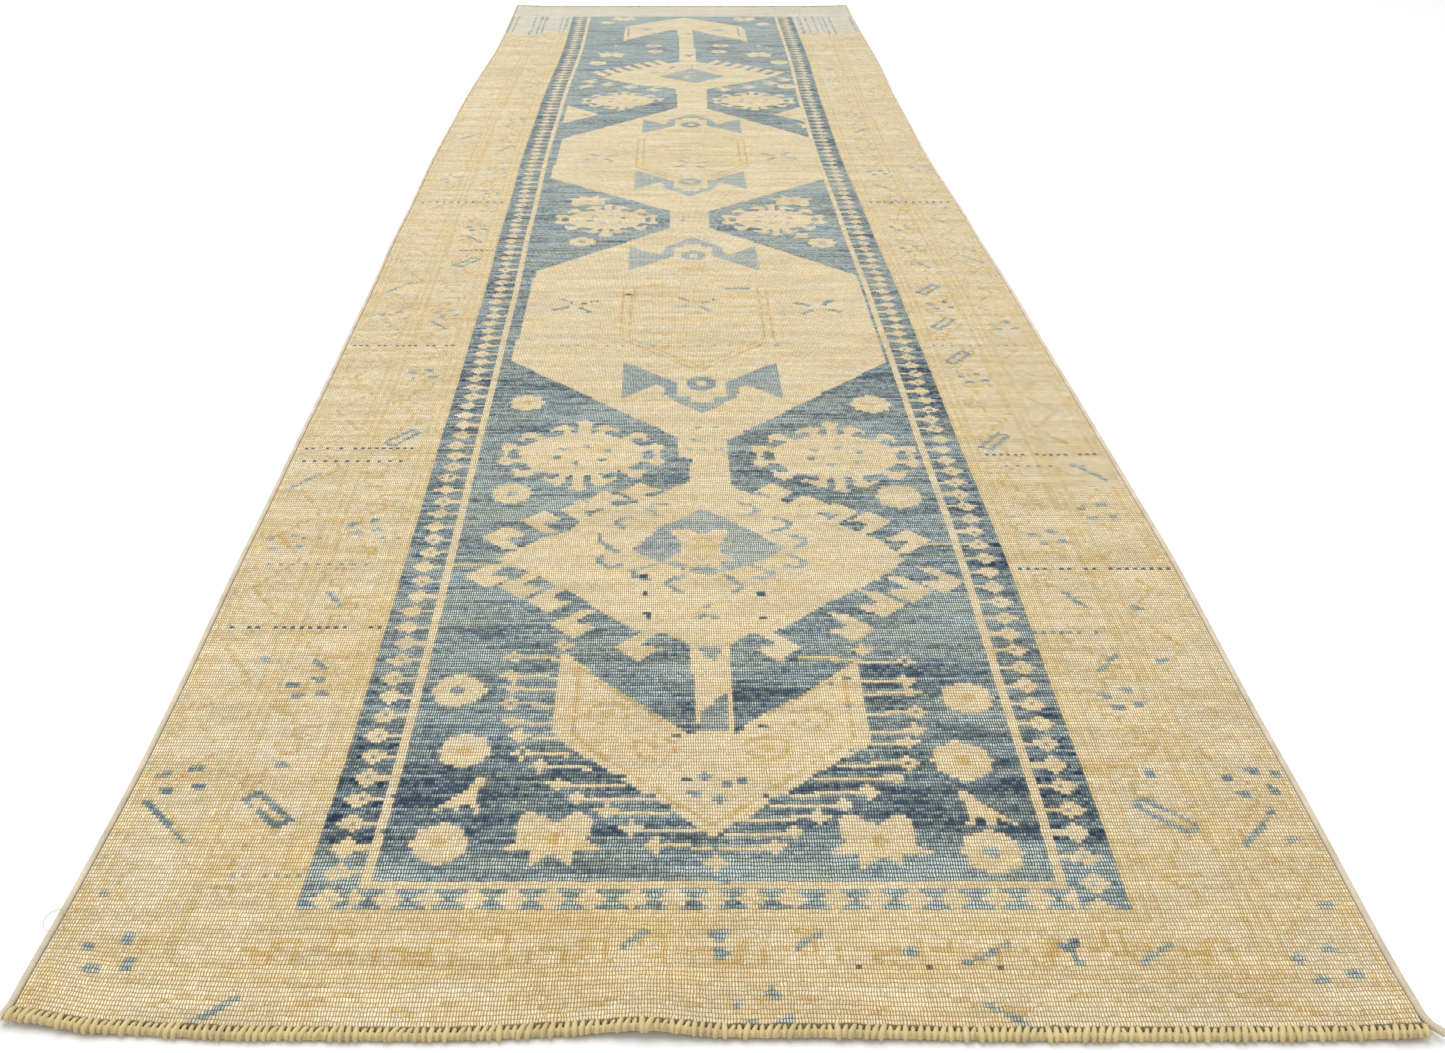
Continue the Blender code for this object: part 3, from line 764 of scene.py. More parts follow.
bar((0.205, 0.010), (0.180, 0.032))
for x, y in ((-0.425, 0.855), (0.425, 0.880), (-0.42, 1.52), (0.42, 1.66), (-0.42, 2.45)):
    bar((x, y), (x + math.copysign(0.03, x), y - 0.045), "sky")
spots([(-0.442, 0.143), (0.441, 0.130), (0.442, 0.205), (0.413, 0.460), (-0.398, 0.462),
       (-0.45, 1.765), (0.44, 1.92), (0.445, 1.68), (0.415, 0.555), (0.459, 0.288)],
      name="sky")
# The first row of knots in dark olive: painted shade for the needle holes between the near stitches
knot(np.arange(KNOT_ROWS)[:, None] + np.zeros(SHAPE, int) == 0, "olive")

# Past a ragged line near the far end, the grey yarn of the far border runs down both sides,
# with thin dark lines along it
GREY_START = 3.54
DARK_LINES = (-0.466, -0.452, -0.404, -0.386, -0.374, -0.330, -0.316, 0.315, 0.332, 0.352,
              0.370, 0.381, 0.398, 0.455, 0.470)
DARK_LINE_REACH = 0.0026
DARK_LINE_SHARE = 0.62
RAGGED = 0.06
grey_line = GREY_START + RAGGED * (cloudy(0.03, 0.5) - 0.5)


def turn_grey(name):
    """Ties one side band in grey past the ragged line, with its dark lines."""
    past = standing_in(name) & (Y > grey_line)
    knot(past, "grey")
    for across in DARK_LINES:
        knot(past & some(abs(X - across) < DARK_LINE_REACH, DARK_LINE_SHARE), "slate")


turn_grey("outer_border_pile")
tuft("outer_border_pile", "ivory_pile", ivory_wool)


# The outer guard lines.
# Three thin lines of straw wool on ivory between the outer border and the main one.

def band_share(name, side_outer, side_inner, near_outer, near_inner):
    """How far in each knot of a band stands, from 0 at its outer line to 1 at its inner."""
    side = (side_outer - abs(ACROSS)) / (side_outer - side_inner)
    near = (ALONG - near_outer) / (near_inner - near_outer)
    return np.where(standing_in(name), np.clip(np.minimum(side, near), 0, 0.999), -1)


def lines_in(name, lines, *lines_of_band):
    """Ties a band in ivory, with thin straw lines along it."""
    share = band_share(name, *lines_of_band)
    knot(share >= 0, "ivory")
    knot(some((share >= 0) & ((share * lines).astype(int) % 2 == 0), 0.80), "straw")


OUTER_BORDER, NEAR_OUTER_BORDER = 0.064, 0.042
OUTER_LINES, NEAR_OUTER_LINES = 0.024, 0.018
outer_lines_at = WOVEN_HALF_WIDTH - OUTER_BORDER
near_outer_lines_at = WOVEN_START + NEAR_OUTER_BORDER
lines_in("outer_guard_lines_pile", 5, outer_lines_at, outer_lines_at - OUTER_LINES,
         near_outer_lines_at, near_outer_lines_at + NEAR_OUTER_LINES)
turn_grey("outer_guard_lines_pile")
tuft("outer_guard_lines_pile", "straw_pile", straw_wool)


# The main border.
# Ivory wool with broken gold frets, and blue figures: hollow ovals, bars, groups of spots
# and two small winged figures at the near end.

main = standing_in("main_border_pile")
knot(main, "ivory")
FRET = ((0.000, 0.000), (0.000, 0.014), (0.014, 0.014), (0.014, 0.028), (-0.008, 0.028))
FRET_STEP = 0.056


def fret(x, y, side, upright):
    """A small stepped hook in gold, lying along a side border or across the near end."""
    points = [(x + side * a, y + b) if upright else (x + b, y + side * a) for a, b in FRET]
    knot(main & some(line(points, GOLD_LINE), 0.66), "gold")


for step in range(66):
    for side in (-1, 1):
        turn = 1 if step % 2 else -1
        fret(side * 0.352, 0.135 + FRET_STEP * step, turn, True)
        fret(side * 0.352 + 0.02 * turn, 0.158 + FRET_STEP * step, -turn, True)
for step in range(13):
    fret(-0.335 + 0.054 * step, 0.085, 1 if step % 2 else -1, False)
    fret(-0.318 + 0.054 * step, 0.078, -1 if step % 2 else 1, False)


def hollow_oval(start, end, name="slate"):
    """A slanting oval ring, as wide as six or seven knots."""
    (start_x, start_y), (end_x, end_y) = start, end
    run = math.hypot(end_x - start_x, end_y - start_y)
    over_x, over_y = (end_y - start_y) / run * 0.0065, -(end_x - start_x) / run * 0.0065
    ring = [(start_x + over_x, start_y + over_y), (end_x + over_x, end_y + over_y),
            (end_x - over_x, end_y - over_y), (start_x - over_x, start_y - over_y),
            (start_x + over_x, start_y + over_y)]
    knot(some(line(ring, 0.0055), 0.92), name)


hollow_oval((-0.363, 0.258), (-0.330, 0.224))
hollow_oval((0.339, 0.252), (0.372, 0.217), "sky")
for side, along in ((-1, 0.955), (1, 0.945), (1, 1.215), (-1, 1.62), (1, 1.345), (1, 1.490)):
    hollow_oval((side * 0.348 - 0.013, along - 0.020), (side * 0.348 + 0.013, along + 0.018))
for x, y, name in ((-0.350, 0.415, "slate"), (0.362, 0.398, "slate"), (-0.352, 1.155, "sky"),
                   (0.356, 1.140, "slate"), (0.355, 1.420, "slate"), (-0.352, 1.800, "slate"),
                   (0.350, 1.685, "slate"), (0.348, 1.800, "slate"), (-0.352, 2.160, "sky"),
                   (0.348, 2.150, "slate"), (0.345, 2.330, "sky"), (-0.352, 0.725, "sky"),
                   (0.360, 0.700, "sky"), (-0.350, 2.020, "sky"), (-0.350, 1.385, "sky"),
                   (-0.350, 2.560, "sky"), (0.350, 2.600, "sky"), (-0.350, 2.95, "sky"),
                   (0.352, 3.10, "sky")):
    four_spots(x, y, spread=0.014, name=name)
for start, end in (((0.354, 0.443), (0.374, 0.470)), ((-0.353, 0.462), (-0.342, 0.449)),
                   ((0.365, 0.560), (0.352, 0.585)), ((-0.364, 0.585), (-0.348, 0.560)),
                   ((-0.366, 1.350), (-0.345, 1.325)), ((0.345, 1.620), (0.365, 1.595)),
                   ((-0.362, 1.755), (-0.337, 1.722)), ((0.360, 1.965), (0.345, 1.945)),
                   ((0.335, 2.070), (0.355, 2.040)), ((-0.362, 2.320), (-0.340, 2.350)),
                   ((0.360, 2.490), (0.340, 2.460)), ((-0.065, 0.085), (-0.045, 0.105)),
                   ((0.058, 0.086), (0.076, 0.101)), ((0.168, 0.065), (0.205, 0.090)),
                   ((0.288, 0.064), (0.316, 0.088)), ((0.405, 0.890), (0.385, 0.860))):
    bar(start, end)
spots([(-0.348, 0.300), (0.357, 0.290), (0.136, 0.080), (0.386, 0.055)], name="sky")


def winged_figure(x, y):
    """Two wedges point to point, with a short tail."""
    knot(within([(x - 0.010, y + 0.016), (x + 0.008, y + 0.020), (x + 0.001, y + 0.002),
                 (x + 0.010, y - 0.010), (x - 0.004, y - 0.012), (x - 0.002, y + 0.004)]),
         "slate")
    knot(within([(x - 0.003, y + 0.016), (x + 0.009, y + 0.022), (x + 0.003, y + 0.006)]), "blue")


winged_figure(0.004, 0.086)
winged_figure(0.249, 0.074)
turn_grey("main_border_pile")
tuft("main_border_pile", "ivory_pile", ivory_wool)


# The inner guard lines.
# Thin straw and ivory lines that close the main border off from the blue.

MAIN_BORDER, NEAR_MAIN_BORDER = 0.056, 0.038
INNER_LINES, NEAR_INNER_LINES = 0.018, 0.019
inner_lines_at = outer_lines_at - OUTER_LINES - MAIN_BORDER
near_inner_lines_at = near_outer_lines_at + NEAR_OUTER_LINES + NEAR_MAIN_BORDER
lines_in("inner_guard_lines_pile", 5, inner_lines_at, inner_lines_at - INNER_LINES,
         near_inner_lines_at, near_inner_lines_at + NEAR_INNER_LINES)
turn_grey("inner_guard_lines_pile")
tuft("inner_guard_lines_pile", "straw_pile", straw_wool)


# The blue guard.
# A narrow blue band with a row of small ivory stars, each tied to the cream line beside it
# by a stem one knot wide.

BLUE_GUARD, NEAR_BLUE_GUARD = 0.042, 0.026
CREAM_LINE = 0.007
STAR_PITCH = 0.0295
GUARD_STAR_RADIUS = 0.0125
GUARD_STAR_ARM = 0.0062
# The guard has kept more blue than the field: past each place along, it is this much less worn
GUARD_LESS_WORN = ((0.2, 0.14), (2.3, 0.16))
guard = standing_in("blue_guard_pile")
guard_middle = inner_lines_at - INNER_LINES - 0.55 * BLUE_GUARD
near_guard_at = near_inner_lines_at + NEAR_INNER_LINES
near_guard_middle = near_guard_at + NEAR_BLUE_GUARD / 2
field_start = near_guard_at + NEAR_BLUE_GUARD + CREAM_LINE


def guard_star(off_across, off_along):
    """Where a small star covers a knot that stands off its middle by this much."""
    off_across, off_along = abs(off_across), abs(off_along)
    star = (off_across + off_along < GUARD_STAR_RADIUS)
    star |= (np.maximum(off_across, off_along) < GUARD_STAR_ARM)
    return star


for past, less in GUARD_LESS_WORN:
    wear[guard & (Y > past)] -= less
beside = guard & (ALONG > near_guard_middle - STAR_PITCH / 2)
row_shift = np.where(ACROSS < 0, 0.0, 0.4 * STAR_PITCH)
off_along = (ALONG - near_guard_middle + row_shift + STAR_PITCH / 2) % STAR_PITCH - STAR_PITCH / 2
off_across = abs(ACROSS) - guard_middle
stars = beside & guard_star(off_across, off_along)
stems = beside & (abs(off_along) < 0.0026) & (off_across < 0) & (ALONG > field_start)
near_part = guard & (abs(ACROSS) < guard_middle - STAR_PITCH / 2) & (ALONG < field_start)
off_middle = (ACROSS + STAR_PITCH / 2) % STAR_PITCH - STAR_PITCH / 2
near_stars = near_part & guard_star(off_middle, ALONG - near_guard_middle)
knot(some(stems, 0.9), "cream")
knot(some(stars | near_stars, 0.9), "cream")
hearts = beside & (abs(off_along) < 0.0024) & (abs(off_across) < 0.0022) & (thinned > 0.45)
knot(hearts, "sky")
tuft("blue_guard_pile", "blue_pile", blue_wool)


# The cream line.
# Two knots of cream wool all round, between the blue guard and the field.

knot(some(standing_in("cream_line_pile"), 0.93), "cream")
tuft("cream_line_pile", "cream_pile", cream_wool)


# The far border.
# A plain band of grey ivory wool that crosses the far end. The side borders run out in the
# same grey yarn, crossed by a few dark threads.

far = standing_in("far_border_pile")
knot(far, "grey")
tuft("far_border_pile", "grey_ivory_pile", grey_wool)


# The near arrow and its pole.
# A broad ivory arrow points at the near end, with a gold line inside its edge and worn
# gold rosettes, and a narrow pole ties it to the diamond.

near_arrow = [
    (0.002, 0.207), (0.100, 0.300), (0.137, 0.330), (0.139, 0.465), (0.133, 0.458),
    (0.085, 0.405), (0.038, 0.366), (0.026, 0.345), (-0.014, 0.345), (-0.030, 0.360),
    (-0.060, 0.388), (-0.100, 0.438), (-0.126, 0.474), (-0.131, 0.469), (-0.129, 0.339),
    (-0.100, 0.311),
]
knot(within(near_arrow), "cream")
for points in (
    [(-0.097, 0.430), (-0.115, 0.450), (-0.114, 0.346), (-0.092, 0.318), (0.002, 0.222),
     (0.094, 0.310), (0.122, 0.338), (0.122, 0.438), (0.104, 0.420)],
    [(-0.098, 0.430), (-0.040, 0.366)], [(0.104, 0.420), (0.052, 0.372)],
):
    knot(some(line(points, GOLD_LINE), 0.75), "gold")


def gold_rosette(x, y, size=0.020):
    """A worn gold ring with a dot in it, mostly gone."""
    away = np.hypot(X - x, (Y - y) * 1.1)
    ring = (away < size) & (away > size - 0.0055)
    knot(some(ring, 0.60), "gold")
    knot(some(away < 0.006, 0.7), "gold")


for x, y in ((-0.085, 0.375), (-0.045, 0.325), (0.050, 0.325), (0.088, 0.368)):
    gold_rosette(x, y)
knot(within([(-0.0115, 0.34), (0.0225, 0.34), (0.0225, 0.51), (-0.0115, 0.51)]), "cream")
knot(within([(-0.007, 0.350), (0.017, 0.350), (0.017, 0.408), (-0.007, 0.374)]), "sky")
knot(within([(-0.007, 0.492), (-0.002, 0.470), (0.010, 0.458), (0.017, 0.492)]), "sky")
spots([(0.014, 0.276), (-0.011, 0.262), (0.009, 0.255), (0.026, 0.279), (-0.004, 0.286)],
      radius=0.0055, name="sky")
spots([(-0.113, 0.352), (-0.047, 0.260), (-0.070, 0.285), (-0.034, 0.245), (0.117, 0.319),
       (0.084, 0.283), (0.051, 0.253), (0.125, 0.431), (0.110, 0.421), (0.124, 0.385),
       (-0.026, 0.344), (-0.018, 0.282), (0.028, 0.281), (0.047, 0.356), (-0.008, 0.354)],
      radius=0.0030, name="blue")
COMB_LEFT = (
    (-0.172, 0.467), (-0.172, 0.436), (-0.170, 0.416), (-0.170, 0.391), (-0.166, 0.363),
    (-0.158, 0.342), (-0.153, 0.318), (-0.137, 0.300), (-0.122, 0.275), (-0.104, 0.257),
    (-0.081, 0.240), (-0.061, 0.218), (-0.043, 0.198),
)
COMB_RIGHT = (
    (0.180, 0.459), (0.178, 0.428), (0.178, 0.409), (0.179, 0.378), (0.176, 0.350),
    (0.168, 0.332), (0.164, 0.303), (0.149, 0.283), (0.127, 0.264), (0.106, 0.248),
    (0.085, 0.232), (0.064, 0.213), (0.047, 0.196),
)


def little_star(x, y, heart=None):
    """A star of five knots across, which ends a comb line."""
    knot(disc(x, y, 0.0072, 0.0064), "cream")
    knot(line([(x - 0.0085, y), (x + 0.0085, y)], 0.0040), "cream")
    knot(line([(x, y - 0.0085), (x, y + 0.0085)], 0.0040), "cream")
    if heart:
        knot(disc(x, y, 0.0030, 0.0030), heart)


def arrow_side(y, side):
    """How far out the arrow's edge stands at one place along."""
    return side * min(0.002 + (y - 0.205) * 1.06, 0.132) + 0.003


for side, places in ((-1, COMB_LEFT), (1, COMB_RIGHT)):
    for index, (x, y) in enumerate(places):
        inner_x = arrow_side(max(y - 0.004, 0.206), side)
        knot(line([(x, y), (inner_x, y - 0.004)], 0.0046), "cream")
        little_star(x, y, "blue" if index in (0, 3, 6) else None)
little_star(0.003, 0.177)
little_star(-0.130, 0.487, "blue")
little_star(0.144, 0.478)
knot(line([(0.085, 0.465), (0.140, 0.463)], 0.0046), "straw")
for node in ("near_finial_pile", "near_pole_pile"):
    tuft(node, "cream_pile", cream_wool)


# The near diamond.
# An ivory diamond edged with latch hooks. A pale blue lozenge stands in it, with an ivory
# star that has a few straw knots at its heart, and its own small hooks.

HOOK = ((0.026, 0.027), (0.000, 0.000), (0.022, -0.025), (0.046, -0.003), (0.024, 0.004),
        (0.045, 0.030))
NEAR_HOOKS = {
    (-1, -1): ((-0.0835, 0.484), (-0.145, 0.524), (-0.171, 0.570), (-0.200, 0.597),
               (-0.235, 0.617)),
    (1, -1): ((0.090, 0.484), (0.161, 0.517), (0.194, 0.561), (0.224, 0.590), (0.259, 0.608)),
    (-1, 1): ((-0.087, 0.808), (-0.125, 0.788), (-0.151, 0.764), (-0.190, 0.738),
              (-0.227, 0.702)),
    (1, 1): ((0.103, 0.805), (0.139, 0.776), (0.171, 0.758), (0.203, 0.736), (0.238, 0.694)),
}


def latch_hook(x, y, side, end, size=1.0):
    """A hook on a diamond's edge, from its outer corner: a stem, and a head that turns back."""
    points = [(x - side * a * size, y - end * b * size) for a, b in HOOK]
    knot(within(points), "cream")


near_diamond = [
    (-0.012, 0.487), (0.020, 0.487), (0.046, 0.510), (0.070, 0.514), (0.104, 0.548),
    (0.140, 0.582), (0.175, 0.612), (0.205, 0.650), (0.200, 0.668), (0.185, 0.694),
    (0.165, 0.710), (0.140, 0.738), (0.120, 0.765), (0.092, 0.785), (0.062, 0.802),
    (0.042, 0.815), (0.034, 0.832), (-0.012, 0.832), (-0.026, 0.822), (-0.048, 0.800),
    (-0.070, 0.782), (-0.100, 0.768), (-0.125, 0.745), (-0.140, 0.712), (-0.165, 0.700),
    (-0.201, 0.662), (-0.205, 0.648), (-0.170, 0.624), (-0.135, 0.592), (-0.100, 0.553),
    (-0.062, 0.512), (-0.036, 0.508),
]
knot(within(near_diamond), "cream")
for (side, end), corners in NEAR_HOOKS.items():
    for x, y in corners:
        latch_hook(x, y, side, end)
knot(within([(0.002, 0.768), (0.046, 0.725), (0.086, 0.676), (0.060, 0.650), (0.006, 0.618),
             (-0.040, 0.645), (-0.072, 0.672), (-0.044, 0.722)]), "sky")
star_in_lozenge = [
    (0.000, 0.708), (0.014, 0.720), (0.030, 0.716), (0.022, 0.692), (0.020, 0.670),
    (0.036, 0.652), (0.020, 0.648), (0.018, 0.632), (0.003, 0.641), (-0.016, 0.632),
    (-0.020, 0.648), (-0.037, 0.650), (-0.021, 0.670), (-0.022, 0.692), (-0.031, 0.716),
    (-0.014, 0.721),
]
knot(within(star_in_lozenge), "ivory")
knot(some(disc(0.001, 0.676, 0.014, 0.026), 0.6), "straw")
SMALL_HOOKS = (
    ((-0.082, 0.722), (-0.090, 0.735), (-0.082, 0.747), (-0.068, 0.744)),
    ((-0.045, 0.752), (-0.054, 0.764), (-0.050, 0.777), (-0.038, 0.780)),
    ((0.052, 0.752), (0.062, 0.764), (0.054, 0.778), (0.042, 0.782)),
    ((0.072, 0.712), (0.090, 0.722), (0.094, 0.735), (0.080, 0.746)),
    ((-0.106, 0.706), (-0.104, 0.690), (-0.092, 0.676), (-0.084, 0.668)),
    ((-0.102, 0.658), (-0.103, 0.645), (-0.092, 0.636), (-0.082, 0.640)),
    ((0.092, 0.704), (0.108, 0.698), (0.106, 0.686), (0.098, 0.678)),
    ((0.088, 0.664), (0.105, 0.650), (0.098, 0.636), (0.084, 0.640)),
    ((-0.050, 0.640), (-0.070, 0.630), (-0.066, 0.616), (-0.052, 0.612)),
    ((-0.020, 0.618), (-0.036, 0.604), (-0.028, 0.590), (-0.020, 0.584)),
    ((0.024, 0.618), (0.040, 0.600), (0.030, 0.586)),
    ((0.052, 0.640), (0.070, 0.626), (0.064, 0.612), (0.050, 0.616)),
)
for points in SMALL_HOOKS:
    knot(some(line(points, 0.0062), 0.85), "sky")
spots([(-0.058, 0.618), (-0.052, 0.545), (0.058, 0.536), (-0.052, 0.538), (0.056, 0.583),
       (-0.056, 0.583)], radius=0.0042, name="navy")
spots([(0.002, 0.542), (0.003, 0.558), (-0.004, 0.538), (0.010, 0.538)], radius=0.004,
      name="sky")
knot(line([(-0.250, 0.641), (-0.190, 0.641)], 0.0046), "straw")
knot(line([(0.225, 0.687), (0.262, 0.687)], 0.0046), "straw")
tuft("near_diamond_pile", "cream_pile", cream_wool)
tuft("near_diamond_lozenge_pile", "pale_blue_pile", pale_blue_wool)


# The two hexagons and the necks between them.
# Long ivory hexagons take up the middle of the runner. Each holds two pairs of pale blue
# horns, an inner hexagon in double gold lines, and worn blue pinwheels.

HORN = ((0.000, 0.000), (0.044, 0.052), (0.048, 0.082), (0.057, 0.092), (0.100, 0.048),
        (0.101, 0.172), (0.058, 0.130), (0.031, 0.102), (0.031, 0.052), (0.015, 0.052),
        (0.015, 0.037), (0.000, 0.037))


def mirrored(points):
    """A closed outline from its right half, the points listed from its start to its end."""
    return list(points) + [(-x, y) for x, y in reversed(points) if x > 0]


HORN_WEAR = 0.18
HORN_MOST_WORN = 1.1


def horn_pair(x, y, towards, name="slate"):
    """Two horns side by side on a short neck, worn pale, with a ring between them."""
    pair = within([(x + a, y + towards * b) for a, b in mirrored(HORN)])
    knot(pair, "sky")
    wear[pair] = np.minimum(wear[pair] + HORN_WEAR, HORN_MOST_WORN)
    knot(pair & (streaks + 0.25 * (thinned - 0.5) > 0.06), name)
    middle = y + towards * 0.097
    knot(disc(x, middle, 0.020, 0.024) & ~disc(x, middle, 0.008, 0.010), "sky")


def pinwheel(x, y, turn=1, name="sky"):
    """Four small leaves round a bare middle."""
    for quarter in range(4):
        angle = math.radians(90 * quarter + 35)
        away_x, away_y = 0.024 * math.cos(angle) * turn, 0.022 * math.sin(angle)
        tip = (x + away_x * 1.5, y + away_y * 1.5)
        knot(some(line([(x + away_x * 0.6, y + away_y * 0.6), tip], 0.0085), 0.72), name)


necks = (
    ((-0.010, 0.825), (0.034, 0.825), (0.034, 0.957), (-0.022, 0.957), (-0.022, 0.900),
     (-0.008, 0.895)),
    ((-0.033, 1.795), (0.033, 1.795), (0.033, 1.905), (-0.033, 1.905)),
    ((-0.020, 2.665), (0.043, 2.665), (0.045, 2.895), (-0.022, 2.895)),
    ((-0.024, 2.870), (0.046, 2.868), (0.062, 2.880), (0.062, 2.930), (-0.050, 2.930),
     (-0.050, 2.885)),
)
for points in necks:
    knot(within(list(points)), "cream")
near_hexagon = [(-0.020, 0.952), (0.036, 0.948), (0.250, 1.196), (0.248, 1.556), (0.034, 1.800),
                (-0.034, 1.800), (-0.238, 1.572), (-0.241, 1.200)]
far_hexagon = [(-0.034, 1.900), (0.034, 1.900), (0.250, 2.110), (0.250, 2.410), (0.044, 2.672),
               (-0.020, 2.680), (-0.248, 2.408), (-0.252, 2.112)]
for points in (near_hexagon, far_hexagon):
    knot(within(points), "cream")
GOLD_HEXAGON = ((0.000, 0.000), (0.105, 0.120), (0.105, 0.330), (0.000, 0.450))
for x, y, tall in ((0.004, 1.165, 1.0), (0.006, 2.070, 1.02)):
    for inset in (0.0, 0.014):
        right = [(a - inset * (a > 0), b * tall + inset * (1.3 if b == 0 else 0))
                 for a, b in GOLD_HEXAGON[:3]]
        for side in (-1, 1):
            knot(some(line([(x + side * a, y + b) for a, b in right], GOLD_LINE), 0.72), "gold")
gold_fill = within([(0.004 + a, 1.17 + b) for a, b in mirrored(GOLD_HEXAGON)])
gold_fill |= within([(0.006 + a, 2.08 + b) for a, b in mirrored(GOLD_HEXAGON)])
knot(gold_fill & (cloudy(0.06, 0.0088) > 0.62) & (thinned > 0.35), "straw")
horn_pair(0.007, 1.026, 1)
horn_pair(0.003, 1.750, -1, "sky")
horn_pair(0.002, 1.990, 1, "sky")
horn_pair(0.008, 2.622, -1, "sky")
for x, y, turn in ((-0.168, 1.420, 1), (0.178, 1.412, -1), (-0.165, 2.260, 1),
                   (0.172, 2.270, -1)):
    pinwheel(x, y, turn, "slate" if y < 2 else "sky")
pinwheel(0.002, 1.425)
pinwheel(0.006, 2.210)
spots([(-0.010, 0.923), (0.006, 0.924), (-0.004, 0.946), (0.002, 0.946), (0.028, 0.921),
       (0.022, 0.985), (0.000, 0.985), (-0.17, 1.258), (-0.06, 1.262), (0.020, 1.258),
       (0.110, 1.260), (-0.01, 1.865), (-0.012, 1.845), (0.015, 2.840), (0.015, 2.730)],
      radius=0.0048, name="sky")
bar((0.048, 1.494), (0.084, 1.494), "sky")
spots([(-0.093, 1.466)], radius=0.0045, name="navy")
for node in ("near_neck_pile", "near_hexagon_pile", "middle_neck_pile", "far_hexagon_pile",
             "far_neck_pile"):
    tuft(node, "cream_pile", cream_wool)
for node in ("near_hexagon_lower_horns_pile", "near_hexagon_upper_horns_pile",
             "far_hexagon_lower_horns_pile", "far_hexagon_upper_horns_pile"):
    tuft(node, "pale_blue_pile", pale_blue_wool)


# The far diamond, its pole and the far arrow.
# The same figures again towards the far end, smaller and simpler. This diamond has hooks on
# its near edges only, and slanting teeth on its far ones.

FAR_HOOKS = {
    (-1, -1): ((-0.090, 2.862), (-0.145, 2.888), (-0.196, 2.918), (-0.236, 2.948)),
    (1, -1): ((0.104, 2.862), (0.162, 2.888), (0.212, 2.928), (0.248, 2.966)),
}
FAR_HOOK_SIZE = 0.86
far_diamond = [
    (-0.024, 2.870), (0.046, 2.868), (0.090, 2.900), (0.140, 2.940), (0.190, 2.985),
    (0.200, 3.005), (0.160, 3.060), (0.110, 3.110), (0.060, 3.145), (0.028, 3.175),
    (-0.010, 3.175), (-0.030, 3.158), (-0.075, 3.120), (-0.120, 3.075), (-0.160, 3.035),
    (-0.190, 2.990), (-0.150, 2.945), (-0.100, 2.905), (-0.050, 2.885),
]
knot(within(far_diamond), "cream")
for (side, end), corners in FAR_HOOKS.items():
    for x, y in corners:
        latch_hook(x, y, side, end, FAR_HOOK_SIZE)
FAR_TEETH = 7
for side in (-1, 1):
    for step in range(FAR_TEETH):
        share = (step + 0.5) / FAR_TEETH
        x, y = 0.006 + side * (0.030 + 0.165 * share), 3.160 - 0.152 * share
        knot(within([(x, y - 0.006), (x + side * 0.014, y - 0.018), (x + side * 0.042, y + 0.030),
                     (x + side * 0.028, y + 0.046)]), "cream")
knot(within([(0.014, 3.095), (0.092, 3.000), (0.020, 2.930), (-0.060, 3.000)]), "sky")
far_star = within([(0.012, 3.070), (0.036, 3.000), (0.014, 2.955), (-0.014, 3.000)])
knot(some(far_star, 0.4), "cream")
for points in (((-0.035, 3.090), (-0.028, 3.115)), ((0.055, 3.098), (0.070, 3.075)),
               ((0.016, 3.110), (0.016, 3.130)), ((-0.080, 3.040), (-0.066, 3.055))):
    knot(some(line(points, 0.007), 0.8), "sky")
knot(within([(-0.012, 3.160), (0.026, 3.160), (0.026, 3.300), (0.022, 3.600), (-0.017, 3.600),
             (-0.012, 3.300)]), "cream")
knot(within([(-0.004, 3.262), (0.022, 3.262), (0.012, 3.226)]), "sky")
far_arrow = [(0.002, 3.778), (0.070, 3.720), (0.158, 3.638), (0.162, 3.420), (0.140, 3.462),
             (0.080, 3.520), (0.022, 3.590), (-0.017, 3.590), (-0.030, 3.600),
             (-0.080, 3.540), (-0.135, 3.470), (-0.155, 3.436), (-0.157, 3.640),
             (-0.080, 3.715)]
knot(within(far_arrow), "cream")
spots([(-0.100, 3.600), (0.090, 3.590)], radius=0.016, name="sky")
spots([(0.010, 3.540)], radius=0.008, name="sky")
for x in (-0.146, 0.144):
    knot(some(line([(x, 3.500), (x, 3.630)], GOLD_LINE), 0.8), "slate")
for node in ("far_diamond_pile", "far_pole_pile", "far_finial_pile"):
    tuft(node, "cream_pile", cream_wool)
tuft("far_diamond_lozenge_pile", "pale_blue_pile", pale_blue_wool)


# The hooked octagons.
# Three pairs of round ivory figures with hooks all about them, beside the necks.

OCTAGON_HOOKS = 12


def hooked_octagon(x, y, half_wide, half_tall):
    """A round body with hooks that turn away from its stem, and a stem at each end."""
    knot(disc(x, y, half_wide * 0.76, half_tall * 0.72), "cream")
    for end in (-1, 1):
        knot(line([(x, y), (x, y + end * half_tall * 1.12)], 0.013), "cream")
        foot = y + end * half_tall * 1.12
        knot(line([(x - 0.008, foot), (x + 0.008, foot)], 0.006), "cream")
    for index in range(OCTAGON_HOOKS):
        angle = math.radians(360 / OCTAGON_HOOKS * (index + 0.5))
        if abs(math.cos(angle)) < 0.2:
            continue
        out_x, out_y = half_wide * math.cos(angle), half_tall * math.sin(angle)
        swing = math.copysign(0.20, -math.cos(angle) * math.sin(angle))
        turned_x = half_wide * 0.93 * math.cos(angle + swing)
        turned_y = half_tall * 0.93 * math.sin(angle + swing)
        knot(line([(x + 0.6 * out_x, y + 0.6 * out_y), (x + 0.9 * out_x, y + 0.9 * out_y)],
                  0.0105), "cream")
        knot(disc(x + 0.95 * out_x, y + 0.95 * out_y, 0.0095, 0.0095), "cream")
        knot(line([(x + out_x, y + out_y), (x + turned_x, y + turned_y)], 0.0075), "cream")
    for index in range(6):
        angle = math.radians(60 * index + 20)
        spots([(x + 0.030 * math.cos(angle), y + 0.024 * math.sin(angle))], radius=0.0052,
              name="sky" if index % 3 else "slate")


